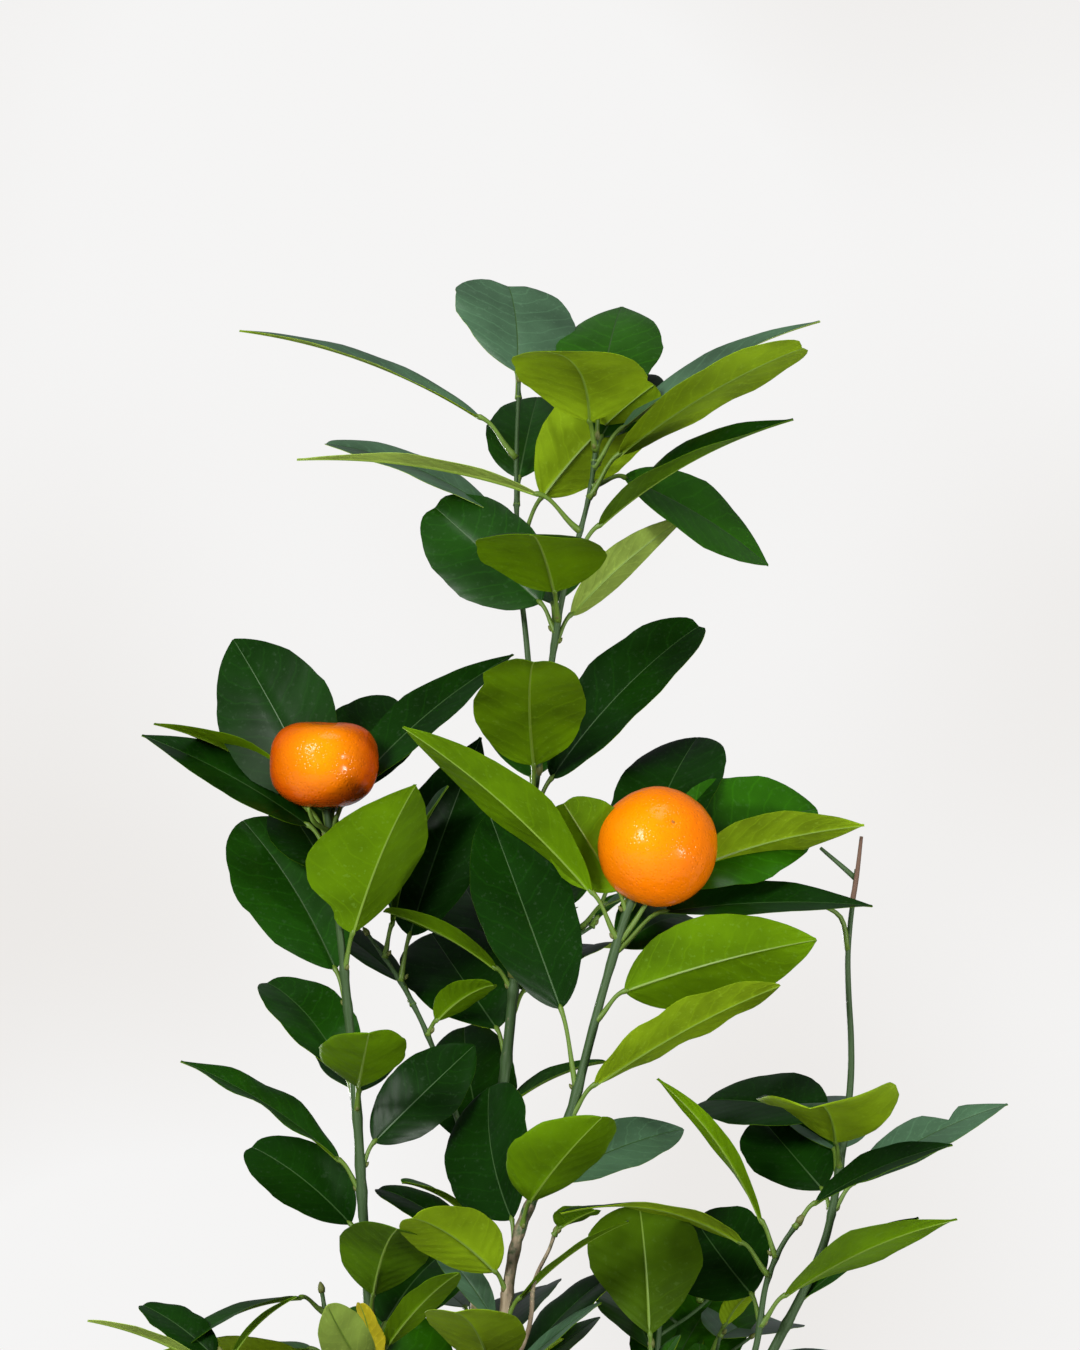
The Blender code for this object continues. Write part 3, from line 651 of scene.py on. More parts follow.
# Twigs that leave a shoot, from the height where each one starts on it.
TWIGS = {
    "top_left": dict(parent="centre", start=558, radii=(1.8, 1.0),
                     points=((16, 20, 600), (13, 24, 630), (12, 27, 663), (13, 27, 694))),
    "top_right": dict(parent="centre", start=558, radii=(1.9, 1.0),
                      points=((24, 9, 600), (28, 6, 623), (36, 5, 653), (39, 4, 674))),
    "inner": dict(parent="centre", start=410, radii=(1.8, 1.0),
                  points=((-7, 26, 443), (-17, 27, 472), (-27, 26, 492), (-38, 27, 508))),
    "right_inner": dict(parent="right", start=352, radii=(1.4, 0.9),
                        points=((16, -24, 378), (18, -25, 394), (23, -25, 405), (25, -26, 411))),
}

# Side shoots that are the stems of masses of their own, and stand clear of the bough they grow from.
SIDE_SHOOTS = {
    "far_right_low": dict(parent="far_right", start=326, radii=(2.2, 1.2),
                          points=((79, -3, 336), (86, -6, 354), (92, -5, 372), (95, -4, 391),
                                  (100, -4, 404), (106, -5, 413))),
    "low_right": dict(parent="far_right", start=252, radii=(2.4, 1.2),
                      points=((42, -12, 262), (62, -32, 285), (82, -46, 315), (96, -54, 350))),
    "right_mid": dict(parent="far_right", start=284, radii=(2.2, 1.2),
                      points=((54, -5, 292), (56, -12, 325), (57, -10, 350), (57, -10, 372))),
    "back_right": dict(parent="far_right", start=268, radii=(2.4, 1.2),
                       points=((44, 15, 272), (50, 34, 305), (58, 52, 345), (62, 62, 392))),
    "back_left": dict(parent="left", start=270, radii=(2.4, 1.2),
                      points=((-20, 13, 275), (-32, 28, 302), (-46, 44, 342), (-54, 52, 386))),
}

# Leaves, by shoot: the height of the leaf's joint on it, the tip's x, y and height, the roll that turns
# the upper side to the front, in degrees, the blade's width, and the stalk's length where it is long.
LEAVES = {
    "top_left": (
        (688, 9, 66, 729, -16, 43), (652, 19, 76, 690, 0, 28), (637, 58, 6, 692, -48, 34, 20),
        (668, -81, 27, 711, -3, 18), (640, -54, 44, 674, 14, 24),
    ),
    "top_right": (
        (671, 48, 78, 721, 0, 36), (670, 23, -56, 701, 0, 44), (666, 57, 50, 698, 20, 26),
        (664, 114, 24, 714, 9, 28), (654, 109, -8, 705, -20, 32, 18), (658, 97, 34, 632, 48, 34),
        (632, 104, -12, 680, 14, 28), (643, -61, 0, 667, -11, 24, 19), (609, -17, 30, 653, 60, 34),
        (613, 17, -62, 641, 0, 43), (605, 70, 24, 649, -24, 24), (608, 18, 88, 638, 0, 32),
    ),
    "centre_top": (
        (553, 18, -48, 601, 0, 37), (546, 75, 26, 613, 38, 32), (548, 18, 92, 594, 0, 33),
    ),
    "left": (
        (541, -83, 24, 607, 66, 40), (534, -113, 8, 575, 22, 34), (540, -108, -14, 579, -12, 24),
        (484, -80, 30, 546, 38, 40), (522, -66, 38, 552, 20, 24), (452, -73, 40, 492, 14, 28),
        (449, -36, -56, 471, 0, 34), (430, -2, 14, 471, 56, 26), (422, -100, 8, 466, 16, 24),
        (403, -78, 28, 437, 36, 28), (380, -27, -40, 413, -14, 30), (368, -6, 60, 402, 20, 34),
        (362, -7, -32, 398, -12, 14), (348, -50, -44, 388, -50, 18), (496, -21, -38, 559, -26, 40),
        (545, -26, 46, 587, 20, 32), (543, 11, 30, 602, 24, 24), (538, -52, 74, 570, 0, 30),
        (446, -38, 78, 470, 0, 30),
    ),
    "centre_low": (
        (466, -17, 68, 507, 20, 38), (425, -6, 74, 476, 20, 32), (398, -36, 44, 422, 12, 20),
        (408, -27, 8, 426, 8, 14), (446, 44, 38, 465, 4, 14), (489, -34, 12, 517, -12, 18),
    ),
    "inner": (
        (492, 0, 38, 574, 46, 34), (500, -11, 8, 558, 40, 20), (484, -55, 60, 512, 8, 16),
        (474, 5, 10, 492, -24, 15),
    ),
    "right_low": (
        (404, 3, 10, 457, 62, 40), (411, 40, -66, 444, -10, 38), (390, -23, -50, 418, -30, 28),
        (418, 68, 14, 443, 34, 24), (380, 50, -40, 416, 8, 14), (374, -17, 2, 407, 12, 14),
        (354, 41, -6, 387, 8, 10), (357, -8, -66, 388, 0, 32), (350, 34, -72, 374, 0, 32),
    ),
    "right_inner": (
        (410, 38, -36, 419, -10, 18),
    ),
    "right_top": (
        (507, -25, -38, 578, -20, 34), (457, 3, -2, 549, 44, 34, 28), (516, 27, -24, 554, -60, 30),
        (518, 73, 38, 574, 0, 37), (516, 113, 26, 550, 56, 40), (506, 128, 0, 545, -32, 28, 30),
        (503, 131, 4, 518, 24, 26, 22), (480, 111, -38, 508, -40, 31), (498, 70, 26, 514, 30, 26),
        (447, 99, -36, 493, -26, 26), (514, 62, 62, 544, 0, 32),
    ),
    "far_right": (
        (440, 75, 50, 451, 24, 38), (430, 108, -56, 454, 0, 46), (415, 95, 46, 445, 28, 32),
        (415, 177, 22, 451, 24, 26), (378, 147, 20, 413, 22, 22), (426, 114, 86, 450, 0, 34),
    ),
    "far_right_low": (
        (411, 157, -10, 439, 20, 24), (378, 158, -22, 415, -24, 30), (401, 59, -12, 461, -26, 17),
        (395, 27, -70, 420, -4, 22), (380, 72, 38, 412, 42, 36),
    ),
    "right_mid": (
        (366, 53, -18, 426, -8, 40),
    ),
    "low_left": (
        (362, -114, 10, 385, 16, 20), (358, -130, -14, 381, -10, 14), (364, -61, -14, 389, -4, 9),
    ),
}

# Masses: the shoot whose upper part is the stem, the heights between which it is, and the shoots and
# twigs with leaves. Leaves also follow the rule along each stretch: its heights, the bearing of the
# leaves and how far they swing from it, in degrees, and the height that their tips stay under.
MASSES = {
    "foliage_left": dict(shoot="left", span=(345, 551), leafy=("left",)),
    "foliage_centre_low": dict(shoot="centre", span=(384, 494), leafy=("centre_low", "inner")),
    "foliage_centre_top": dict(shoot="centre", span=(494, 562),
                               leafy=("centre_top", "top_left", "top_right")),
    "foliage_right_low": dict(shoot="right", span=(344, 443), leafy=("right_low", "right_inner")),
    "foliage_right_top": dict(shoot="right", span=(443, 526), leafy=("right_top",)),
    "foliage_far_right": dict(shoot="far_right", span=(340, 530), leafy=("far_right",)),
    "foliage_far_right_low": dict(shoot="far_right_low", leafy=("far_right_low",)),
    "foliage_right_mid": dict(shoot="right_mid", leafy=("right_mid",), rule=((300, 360, -60, 110, 362),)),
    "foliage_low_right": dict(shoot="low_right", leafy=(), rule=((268, 346, -20, 180, 362),)),
    "foliage_low_left": dict(shoot="low_left", span=(306, 368), leafy=("low_left",),
                             rule=((308, 356, 200, 180, 362),)),
    "foliage_back": dict(shoot="back", span=(318, 500), leafy=(),
                         rule=((322, 380, 90, 130, 400), (470, 500, 90, 60, 575))),
    "foliage_front": dict(shoot="front", span=(262, 326), leafy=(), rule=((264, 326, -90, 180, 360),)),
    "foliage_back_right": dict(shoot="back_right", leafy=(), rule=((288, 390, 50, 130, 410),)),
    "foliage_back_left": dict(shoot="back_left", leafy=(), rule=((288, 384, 140, 130, 395),)),
}

# How each leaf that is set out above looks, in the same order, by its name in LOOKS.
LEAF_LOOKS = {
    "top_left": ("kidney", "plain", "young", "edge_on", "pale"),
    "top_right": ("flat_dark", "arched", "dark", "strap", "blunt", "spade", "ridged", "sliver", "even",
                  "lens", "whitish", "plain"),
    "centre_top": ("bitten", "broad", "plain"),
    "left": ("tapered", "pointed", "behind", "glossy", "dark", "glossy", "cupped", "dark", "wavy", "dark",
             "plain", "dark", "plain", "pale_flat", "hooded", "dark", "pointed", "plain", "plain"),
    "centre_low": ("broad", "dark", "plain", "plain", "plain", "olive"),
    "inner": ("pointed", "dark", "plain", "olive"),
    "right_low": ("broad", "cupped", "flat", "plain", "plain", "plain", "plain", "flat", "flat"),
    "right_inner": ("plain",),
    "right_top": ("spear", "dark", "olive", "broad", "lively", "sunlit", "pointed", "shown", "plain",
                  "bright", "plain"),
    "far_right": ("dark", "fan", "plain", "torn", "narrow", "plain"),
    "far_right_low": ("pointed", "curled", "narrow_bright", "flat", "dark"),
    "right_mid": ("shaded",),
    "low_left": ("plain", "yellowish", "narrow"),
}
RULE_LOOKS = {"foliage_back_left": (*["plain"] * 5, "slim")}  # and of the first leaves by rule

# A look gives a skin for each side, and forms: belly, where the blade is widest; base and tip, its ends;
# notch, bow, fold, curl, ripple and waves, its relief; twist, bend, turn, wide, shift and moved, its pose;
# and bite, a piece out of its margin. What a look leaves out is drawn at random in blade.
POINTED = dict(tip=(1.6, 0.95, 1.0), notch=0)
ROUND = (2.3, 0.6, 0.998)
LOOKS = {
    "plain": {},
    "young": dict(upper="fresh", under="olive", ripple=0.02),
    "dark": dict(upper="deep", under="dull"),
    "flat_dark": dict(upper="fresh", under="dull", fold=0.08, tip=(1.8, 0.95, 1.0), notch=0),
    "even": dict(upper="mid", under="dull", fold=0.06, tip=ROUND, bow=0.03),
    "pointed": dict(upper="deep", under="dull", **POINTED),
    "spade": dict(upper="fresh", under="dull", **POINTED, fold=0.12),
    "spear": dict(under="bright", **POINTED, base=(1.8, 0.85), fold=0.22),
    "broad": dict(upper="deep", belly=0.5, tip=(2.5, 0.57, 0.998)),
    "flat": dict(under="olive", fold=0.10, bow=0.08, tip=ROUND),
    "cupped": dict(under="bright", wide=0.85, fold=0.2, curl=-0.12, bow=0.0, moved=(0, 0, 7)),
    "shaded": dict(under="painted_shade_olive", belly=0.6, base=(1.7, 0.9), tip=ROUND, fold=0.1, bow=0.08,
                   moved=(0, 0, -6)),
    "glossy": dict(upper="mid", fold=0.26, ripple=0.05),
    "wavy": dict(upper="mid", under="bright", fold=0.3, ripple=0.09, waves=2.4, **POINTED),
    "bright": dict(under="olive", ripple=0.05),
    "shown": dict(under="bright", turn=-22, wide=1.1, tip=(1.9, 0.85, 1.0), notch=0, fold=0.12),
    "behind": dict(under="bright", fold=0.2, shift=(0, 22, 0), **POINTED),
    "olive": dict(under="bright", fold=0.22),
    "pale": dict(upper="painted_sheen_blue", under="pale"),
    "whitish": dict(upper="fresh", under="pale", turn=-28, wide=0.75, **POINTED),
    "narrow": dict(upper="mid", under="dull", wide=0.75, fold=0.3, **POINTED),
    "narrow_bright": dict(upper="fresh", under="bright", wide=0.66, **POINTED, twist=0.9, bend=0.04),
    "edge_on": dict(upper="painted_sheen_blue", under="olive", turn=13, fold=0.3, **POINTED),
    "lively": dict(upper="fresh", fold=0.26, ripple=0.05),
    "tapered": dict(upper="deep", under="dull", belly=0.44, tip=(1.9, 0.8, 1.0), notch=0, fold=0.15),
    "sunlit": dict(under="olive", **POINTED, base=(1.8, 0.85), fold=0.1, turn=-10),
    "slim": dict(upper="mid", under="dull", wide=0.35, fold=0.3, **POINTED),
    "sliver": dict(upper="mid", under="pale", wide=0.7, tip=(1.5, 1.2, 1.0), notch=0),
    "strap": dict(upper="painted_sheen_blue", under="pale", wide=0.72, tip=(1.6, 1.2, 1.0), twist=0.2, notch=0),
    "blunt": dict(under="olive", belly=0.55, tip=(2.8, 0.55, 0.995), fold=0.12),
    "arched": dict(under="olive", bow=0.10, fold=0.08, bend=0.05),
    "lens": dict(under="bright", tip=(2.2, 0.7, 1.0), base=(2.0, 0.7), fold=0.06, curl=0.12, bow=0.09),
    "bitten": dict(under="bright", tip=(2.4, 0.6, 0.998), fold=0.06, curl=0.08, bow=0.07,
                   bite=(0.66, -1, 0.13)),
    "fan": dict(under="olive", fold=0.0, curl=-0.22, ripple=0.13, waves=1.1, phase=2.2, bow=0.09),
    "ridged": dict(upper="deep", under="dull", fold=0.45, twist=0.5, tip=(1.5, 1.2, 1.0), notch=0),
    "kidney": dict(upper="painted_sheen_blue", under="pale", belly=0.6, tip=(2.6, 0.5, 0.995), notch=0.05, fold=0.06,
                   ripple=0.03),
    "hooded": dict(under="bright", belly=0.4, tip=(1.5, 1.0, 1.0), notch=0, fold=0.5,
                   bite=(0.1, -1, 0.35), turn=26, wide=1.1),
    "torn": dict(upper="painted_sheen_blue", **POINTED, bite=(0.66, 1, 0.7)),
    "curled": dict(upper="mid", under="bright", twist=-0.6, tip=(1.2, 1.3, 1.0), notch=0),
    "yellowed": dict(upper="yellow", under="yellow", ripple=0.08),
    "pale_flat": dict(upper="fresh", under="pale", fold=0.1),
    "yellowish": dict(upper="yellow", under="pale"),
}


def along_route(route, steps=3):
    """Points along a route, closer together than its own."""
    return [near.lerp(far, step / steps)
            for (near, _), (far, _) in zip(route, route[1:]) for step in range(steps)]


def leaf_frame(joint, tip, roll, stalk):
    """The blade's foot, its length, and its directions: along, across and out of the upper side."""
    reach = (tip - joint).length
    rising = ((tip - joint) / reach + Vector((0, 0, STALK_RISE))).normalized()
    foot = joint + rising * (stalk or STALK_SHARE * reach)
    along = (tip - foot).normalized()
    across = along.cross(Vector((0, 0, 1))).normalized()
    if across.y > 0:
        across.negate()
    upper = across.cross(along)
    if upper.z < 0:
        upper.negate()
    turned = upper * math.cos(roll) + across * math.sin(roll)
    return foot, (tip - foot).length, along, turned.cross(along), turned


def blade_points(joint, tip, roll, width, stalk=None):
    """Sample points over a blade, to keep the blades of two masses apart."""
    foot, length, along, across, _ = leaf_frame(joint, tip, roll, stalk)
    return [foot + along * length * share + across * width * swell * side
            for share, swell in ((0, 0), *LEAF_STATIONS, (1, 0)) for side in (-0.4, 0, 0.4)]


def heading(bearing, lift):
    """The direction at an angle round the tree and an angle above level."""
    return Vector((math.cos(bearing) * math.cos(lift), math.sin(bearing) * math.cos(lift), math.sin(lift)))


def rule_leaf(joint, bearing, rng):
    """A leaf by rule at a joint: joint, tip, roll and width."""
    reach = rng.uniform(*RULE_REACH)
    tip = joint + heading(bearing, math.radians(rng.uniform(*RULE_LIFT))) * reach
    roll = math.radians(rng.uniform(-RULE_ROLL, RULE_ROLL))
    return joint, tip, roll, reach * rng.uniform(*RULE_WIDTH)


def grow_by_rule(route, stretch, rng):
    """Joints set round a stem by the golden turn, each with a leaf, and every third with a leafy twig."""
    low, high, bearing, spread, _ = stretch
    height, turn = low, 0.0
    for count in range(int((high - low) / JOINT_SPACING) + 1):
        joint, thick = at_height(route, height)
        turn += GOLDEN_TURN
        swing = (turn + math.pi) % (2 * math.pi) - math.pi
        around = math.radians(bearing) + swing * spread / 180
        if count % TWIG_EVERY:
            yield None, [rule_leaf(joint, around, rng)]
        else:
            end = joint + heading(around, TWIG_LIFT) * rng.uniform(*TWIG_LENGTH)
            middle = joint.lerp(end, 0.5) - Vector((0, 0, TWIG_SAG))
            twig = [(joint, TWIG_TAPER[0] * thick), (middle, TWIG_TAPER[1] * thick), (end, TWIG_TIP_RADIUS)]
            yield twig, [rule_leaf(joint.lerp(end, share), around + turn_off, rng)
                         for share, turn_off in TWIG_LEAVES]
        height += JOINT_SPACING * rng.uniform(*SPACING_SPREAD)


def plan_masses(routes):
    """Every mass's leaves and extra twigs: those set out above, then those by rule that keep clear."""
    rng = random.Random(SEED)
    plan = {}

    def joint_on(group, height):
        # A long shoot has a group of leaves for each of its masses, named for the shoot.
        shoot = group if group in routes else group.rsplit("_", 1)[0]
        return at_height(routes[shoot], height)[0]

    for name, mass in MASSES.items():
        leaves = [(joint_on(group, height), Vector((x, y, z)), math.radians(roll), *sizes)
                  for group in mass["leafy"] for height, x, y, z, roll, *sizes in LEAVES[group]]
        plan[name] = dict(leaves=leaves, twigs=[routes[group] for group in mass["leafy"] if group in TWIGS])
    filled = {name: [p for shape in made["leaves"] for p in blade_points(*shape)]
              for name, made in plan.items()}
    limbs = {name: along_route(route) for name, route in routes.items()}

    def clear(name, points):
        others = [p for other, taken in filled.items() if other != name for p in taken]
        others += [p for shoot, line in limbs.items() if shoot != MASSES[name]["shoot"] for p in line]
        gaps = np.linalg.norm(np.array(points)[:, None] - np.array(others)[None], axis=2)
        return gaps.min() > BLADE_CLEARANCE

    for name, mass in MASSES.items():
        for stretch in mass.get("rule", ()):
            for twig, leaves in grow_by_rule(routes[mass["shoot"]], stretch, rng):
                kept = [shape for shape in leaves
                        if shape[1].z < stretch[-1] and clear(name, blade_points(*shape))]
                if twig and not (kept and clear(name, along_route(twig))):
                    continue
                plan[name]["leaves"] += kept
                filled[name] += [p for shape in kept for p in blade_points(*shape)]
                if twig:
                    plan[name]["twigs"].append(twig)
                    filled[name] += along_route(twig)
    return plan


def knotty(route, joints):
    """The route, a little thicker at the joints of its leaves."""
    if not joints:
        return route
    apart = [min((p - joint).length for joint in joints) for p, _ in route]
    return [(p, r * (1 + KNOT[0] * math.exp(-(d / KNOT[1]) ** 2))) for (p, r), d in zip(route, apart)]


def stalk_route(joint, foot, along):
    """A leaf's stalk: it leaves the wood at a slant, thins, and bends into the blade at a small knuckle."""
    span = (foot - joint).length
    pull = joint + (foot - joint) * STALK_HANDLES[0] + Vector((0, 0, -STALK_SAG * span))
    push = foot - along * STALK_HANDLES[1] * span
    line = []
    for step in range(STALK_STEPS + 1):
        t = step / STALK_STEPS
        line.append(joint * (1 - t) ** 3 + pull * 3 * t * (1 - t) ** 2
                    + push * 3 * t * t * (1 - t) + foot * t ** 3)
    line.append(foot + along * STALK_END)
    girths = np.interp(np.linspace(0, 1, len(line)), STALK_SHARES, STALK_GIRTHS)
    return list(zip(line, girths))


def bud_route(base, out, size):
    """A small pointed bud."""
    return [(base + out * up * size, wide * size) for up, wide in BUD_FORM]


KNOT = (0.25, 1.8)       # how much thicker the wood is at a joint, and over what length, mm
STALK_HANDLES = (0.45, 0.3)  # how far its curve's handles stand from its ends, as shares of its length
STALK_SAG = 0.06
STALK_STEPS = 10
STALK_SHARES = (0, 0.15, 0.5, 0.8, 0.91, 1)  # places along a stalk, and its radii there, mm
STALK_GIRTHS = (1.3, 1.0, 0.72, 0.76, 1.0, 0.5)
STALK_END = 1.6          # how far it runs on under the blade, mm
BUD_FORM = ((0, 0.8), (1.1, 1), (2.0, 0.75), (2.9, 0.2))  # height and radius in units of the bud's size
BUD_SIZE = 0.75
BUD_SEAT = (1.5, 0.8)    # how far out from the stem's middle and above its joint a bud stands, mm
LEAF_ROWS = 26
LEAF_COLUMNS = (0, None, None, 0.2, 0.4, 0.6, 0.8, 0.93, 1)  # across half a blade; None goes by rib width
RIB_WIDTH = (0.55, 0.22)  # half width at the foot and the tip, mm
RIB_RAISE = (0.75, 0.3)   # height under the blade there
RIB_GROOVE = 0.14
BLADE_THICK = 0.34
SCALLOPS = ((0.016, 20), (0.008, 47))  # depth as a share of the width, and how close together
BITE_LENGTH = 0.06       # as a share of the blade's length
FINER = 4                # how many stretches each of a twig's is divided into
STEM_SINK = 3            # how deep a stem starts in its bough, mm
STEM_SPACING = 2.5
ROOT_SWELL = 1.2         # how much thicker a side shoot is where it leaves its parent
TAN_SHOOTS = ("centre", "right")
BUDLESS = ("foliage_left", "foliage_right_top", "foliage_far_right")  # stems with a fruit or a dry tip
GREEN, STALK, BUD, DRY = range(4)  # the skins of a mass's wood
SPURS = {                # bare twigs, and leaves' old stalks
    "foliage_far_right": ((DRY, (124.5, 12, 519), (126, 11, 528), (127.5, 10, 541)),
                          (STALK, (123, 12, 503), (120.5, 10, 514), (112, 7, 519)),
                          (GREEN, (125.5, 12, 527), (121, 13, 531), (114, 16, 537))),
    "foliage_left": ((STALK, (-50, -2, 543), (-55, -8, 546), (-57, -11, 551)),
                     (GREEN, (-49, -2, 538), (-45, -8, 543), (-44, -11, 547))),
}
SPUR_RADII = (1.0, 0.85, 0.6)
EXTRA_LEAVES = {         # joint, tip, roll, width and look of small leaves that the solids leave out
    "foliage_left": ((Vector((-34, 6, 355)), Vector((-40, -4, 387)), 0.3, 12, "yellowed"),),
}
SAGGING = {"foliage_back_left": (365, 26)}  # tips above a height hang lower by this much, mm
TWIGLETS_AT = (0.3, 0.62)
TWIGLET_LENGTH = (8, 15)
TWIGLET_LIFT = (0.3, 1.1)
TWIGLET_LEAF = (15, 24)
TWIGLET_ROLL = 25
TWIGLET_WIDTH = 0.42

# The colours of the leaves, from old and dark to young and fresh, and how much the upper sides shine.
# The bluish grey upper colour is a painted sheen, a reflection put into the colour, on top of its real
# stronger gloss.
UPPERS = {"deep": (0.0045, 0.027, 0.0015), "mid": (0.008, 0.046, 0.002), "painted_sheen_blue": (0.054, 0.120, 0.060),
          "fresh": (0.017, 0.088, 0.001)}
SHINE = {"deep": 0.08, "mid": 0.14, "painted_sheen_blue": 0.40, "fresh": 0.16}
# Of the undersides, the deep olive one is painted shade, a darker copy of the bright one, and the olive one
# is a yellower green that is also painted light, about twice as light as the bright one.
UNDERS = {"bright": (0.093, 0.188, 0.001), "dull": (0.064, 0.140, 0.002), "olive": (0.190, 0.300, 0.006),
          "painted_shade_olive": (0.044, 0.092, 0.001), "pale": (0.26, 0.37, 0.060), "yellow": (0.50, 0.42, 0.015)}
FRESH_WOOD = (0.036, 0.083, 0.018)
GREEN_ENDS = (230, 370)  # heights between which the bark gives way to green wood on most shoots
TAN_ENDS = (375, 455)    # and on those whose bark reaches higher
TWIG_SKINS = (("leaf_stalk", (0.115, 0.205, 0.018), 0.5), ("bud", (0.13, 0.15, 0.028), 0.6),
              ("dry_tip", (0.15, 0.085, 0.055), 0.8))
RIBS = {"rib_upper": (0.027, 0.080, 0.012), "rib_under": (0.165, 0.275, 0.018)}
KINDS = [*UPPERS, *UNDERS, *RIBS]

veins, given, result = new_group("side_veins", {"Blade": "Vector"}, ("Vein", "Pillow"))
axes = node(veins, "SeparateXYZ", {"Vector": given["Blade"]})
centred = calc(veins, "MULTIPLY_ADD", axes["Y"], 2, -1)
slant = calc(veins, "MULTIPLY", calc(veins, "POWER", calc(veins, "ABSOLUTE", centred), 1.35), -1.9)
ranked = calc(veins, "MULTIPLY_ADD", axes["X"], 9, slant)
stepped = calc(veins, "MULTIPLY_ADD", calc(veins, "GREATER_THAN", centred, 0), 0.45, ranked)
swayed = calc(veins, "MULTIPLY_ADD", noise_at(veins, given["Blade"], scale=5), 0.9, stepped)
fold = calc(veins, "PINGPONG", swayed, 0.5)
feed(veins, result, {"Vein": ranged(veins, fold, 0, 0.09, low=1, high=0, ease="SMOOTHSTEP"),
                     "Pillow": ranged(veins, fold, 0, 0.5, ease="SMOOTHERSTEP")})


def leafy(name, colour, roughness, shine, vein_share, vein_tint, relief):
    """A leaf's skin: a tone that drifts, a few pale specks, and side veins as lines between pillows."""
    made, surface, tree = new_material(name, colour, roughness)
    place = node(tree, "TexCoord")["Object"]
    over = node(tree, "Group", {"Blade": node(tree, "UVMap", uv_map="Blade")["UV"]}, node_tree=veins)
    tones = ramped(tree, noise_at(tree, place, scale=45, detail=4),
                   (0.32, [c * 0.72 for c in colour]), (0.68, [c * 1.35 for c in colour]))
    dusty = ranged(tree, noise_at(tree, place, scale=650, detail=2), 0.60, 0.72, high=0.3)
    speckled = mixed(tree, dusty, tones, [c * 1.6 + 0.03 for c in colour])
    tinted = mixed(tree, calc(tree, "MULTIPLY", over["Vein"], vein_share), speckled, vein_tint)
    feed(tree, surface, {"Specular IOR Level": shine, "Base Color": tinted,
                         "Normal": bumped(tree, over["Pillow"], 0.8, relief * MM)})
    return made


leaf_skins = [leafy("leaf_upper_" + name, colour, 0.31, SHINE[name], 0.30, [c * 2.2 for c in colour], 0.03)
              for name, colour in UPPERS.items()]
leaf_skins += [leafy("leaf_under_" + name, colour, 0.6, 0.06, 0.45, [c * 1.3 for c in colour], -0.10)
               for name, colour in UNDERS.items()]
leaf_skins += [new_material("leaf_" + name, colour, 0.5)[0] for name, colour in RIBS.items()]
green_wood = woody("green_wood", FRESH_WOOD, GREEN_ENDS, 480, 0.6)
tan_wood = woody("tan_wood", FRESH_WOOD, TAN_ENDS, 480, 0.6)
twig_skins = [new_material(name, colour, roughness)[0] for name, colour, roughness in TWIG_SKINS]

# One flat leaf, closed, whose points are known by their row, their column and their side.
bm = bmesh.new()
columns = 2 * (len(LEAF_COLUMNS) - 1)
bmesh.ops.create_grid(bm, x_segments=LEAF_ROWS, y_segments=columns, size=1)
bmesh.ops.solidify(bm, geom=bm.faces[:], thickness=0.02)
bmesh.ops.recalc_face_normals(bm, faces=bm.faces)
middle = sum(vert.co.z for vert in bm.verts) / len(bm.verts)
rows_at = np.array([round((vert.co.x + 1) / 2 * LEAF_ROWS) for vert in bm.verts])
columns_at = np.array([round((vert.co.y + 1) / 2 * columns) - columns // 2 for vert in bm.verts])
on_top = np.array([vert.co.z > middle for vert in bm.verts])
rib_edge = 2.1 / columns
face_kinds = np.array([(2 if abs(face.calc_center_median().y) < rib_edge else 0) + (face.normal.z < 0.5)
                       for face in bm.faces])
_, leaf_faces = template(bm)
LEAF_T = (1 - np.cos(np.pi * rows_at / LEAF_ROWS)) * 0.35 + 0.3 * rows_at / LEAF_ROWS
STEP = np.abs(columns_at)
SIDE = np.sign(columns_at)
SHARE = np.array([share or 0 for share in LEAF_COLUMNS])[STEP]


def outline(t, belly, base, tip):
    """Half the blade's width as a share of its greatest, from the foot at 0 to the tip at 1."""
    low = np.clip((belly - t) / belly, 0, 1)
    high = np.clip((t - belly) / (1 - belly), 0, 1) * tip[2]
    return np.where(t < belly, (1 - low ** base[0]) ** base[1], (1 - high ** tip[0]) ** tip[1])


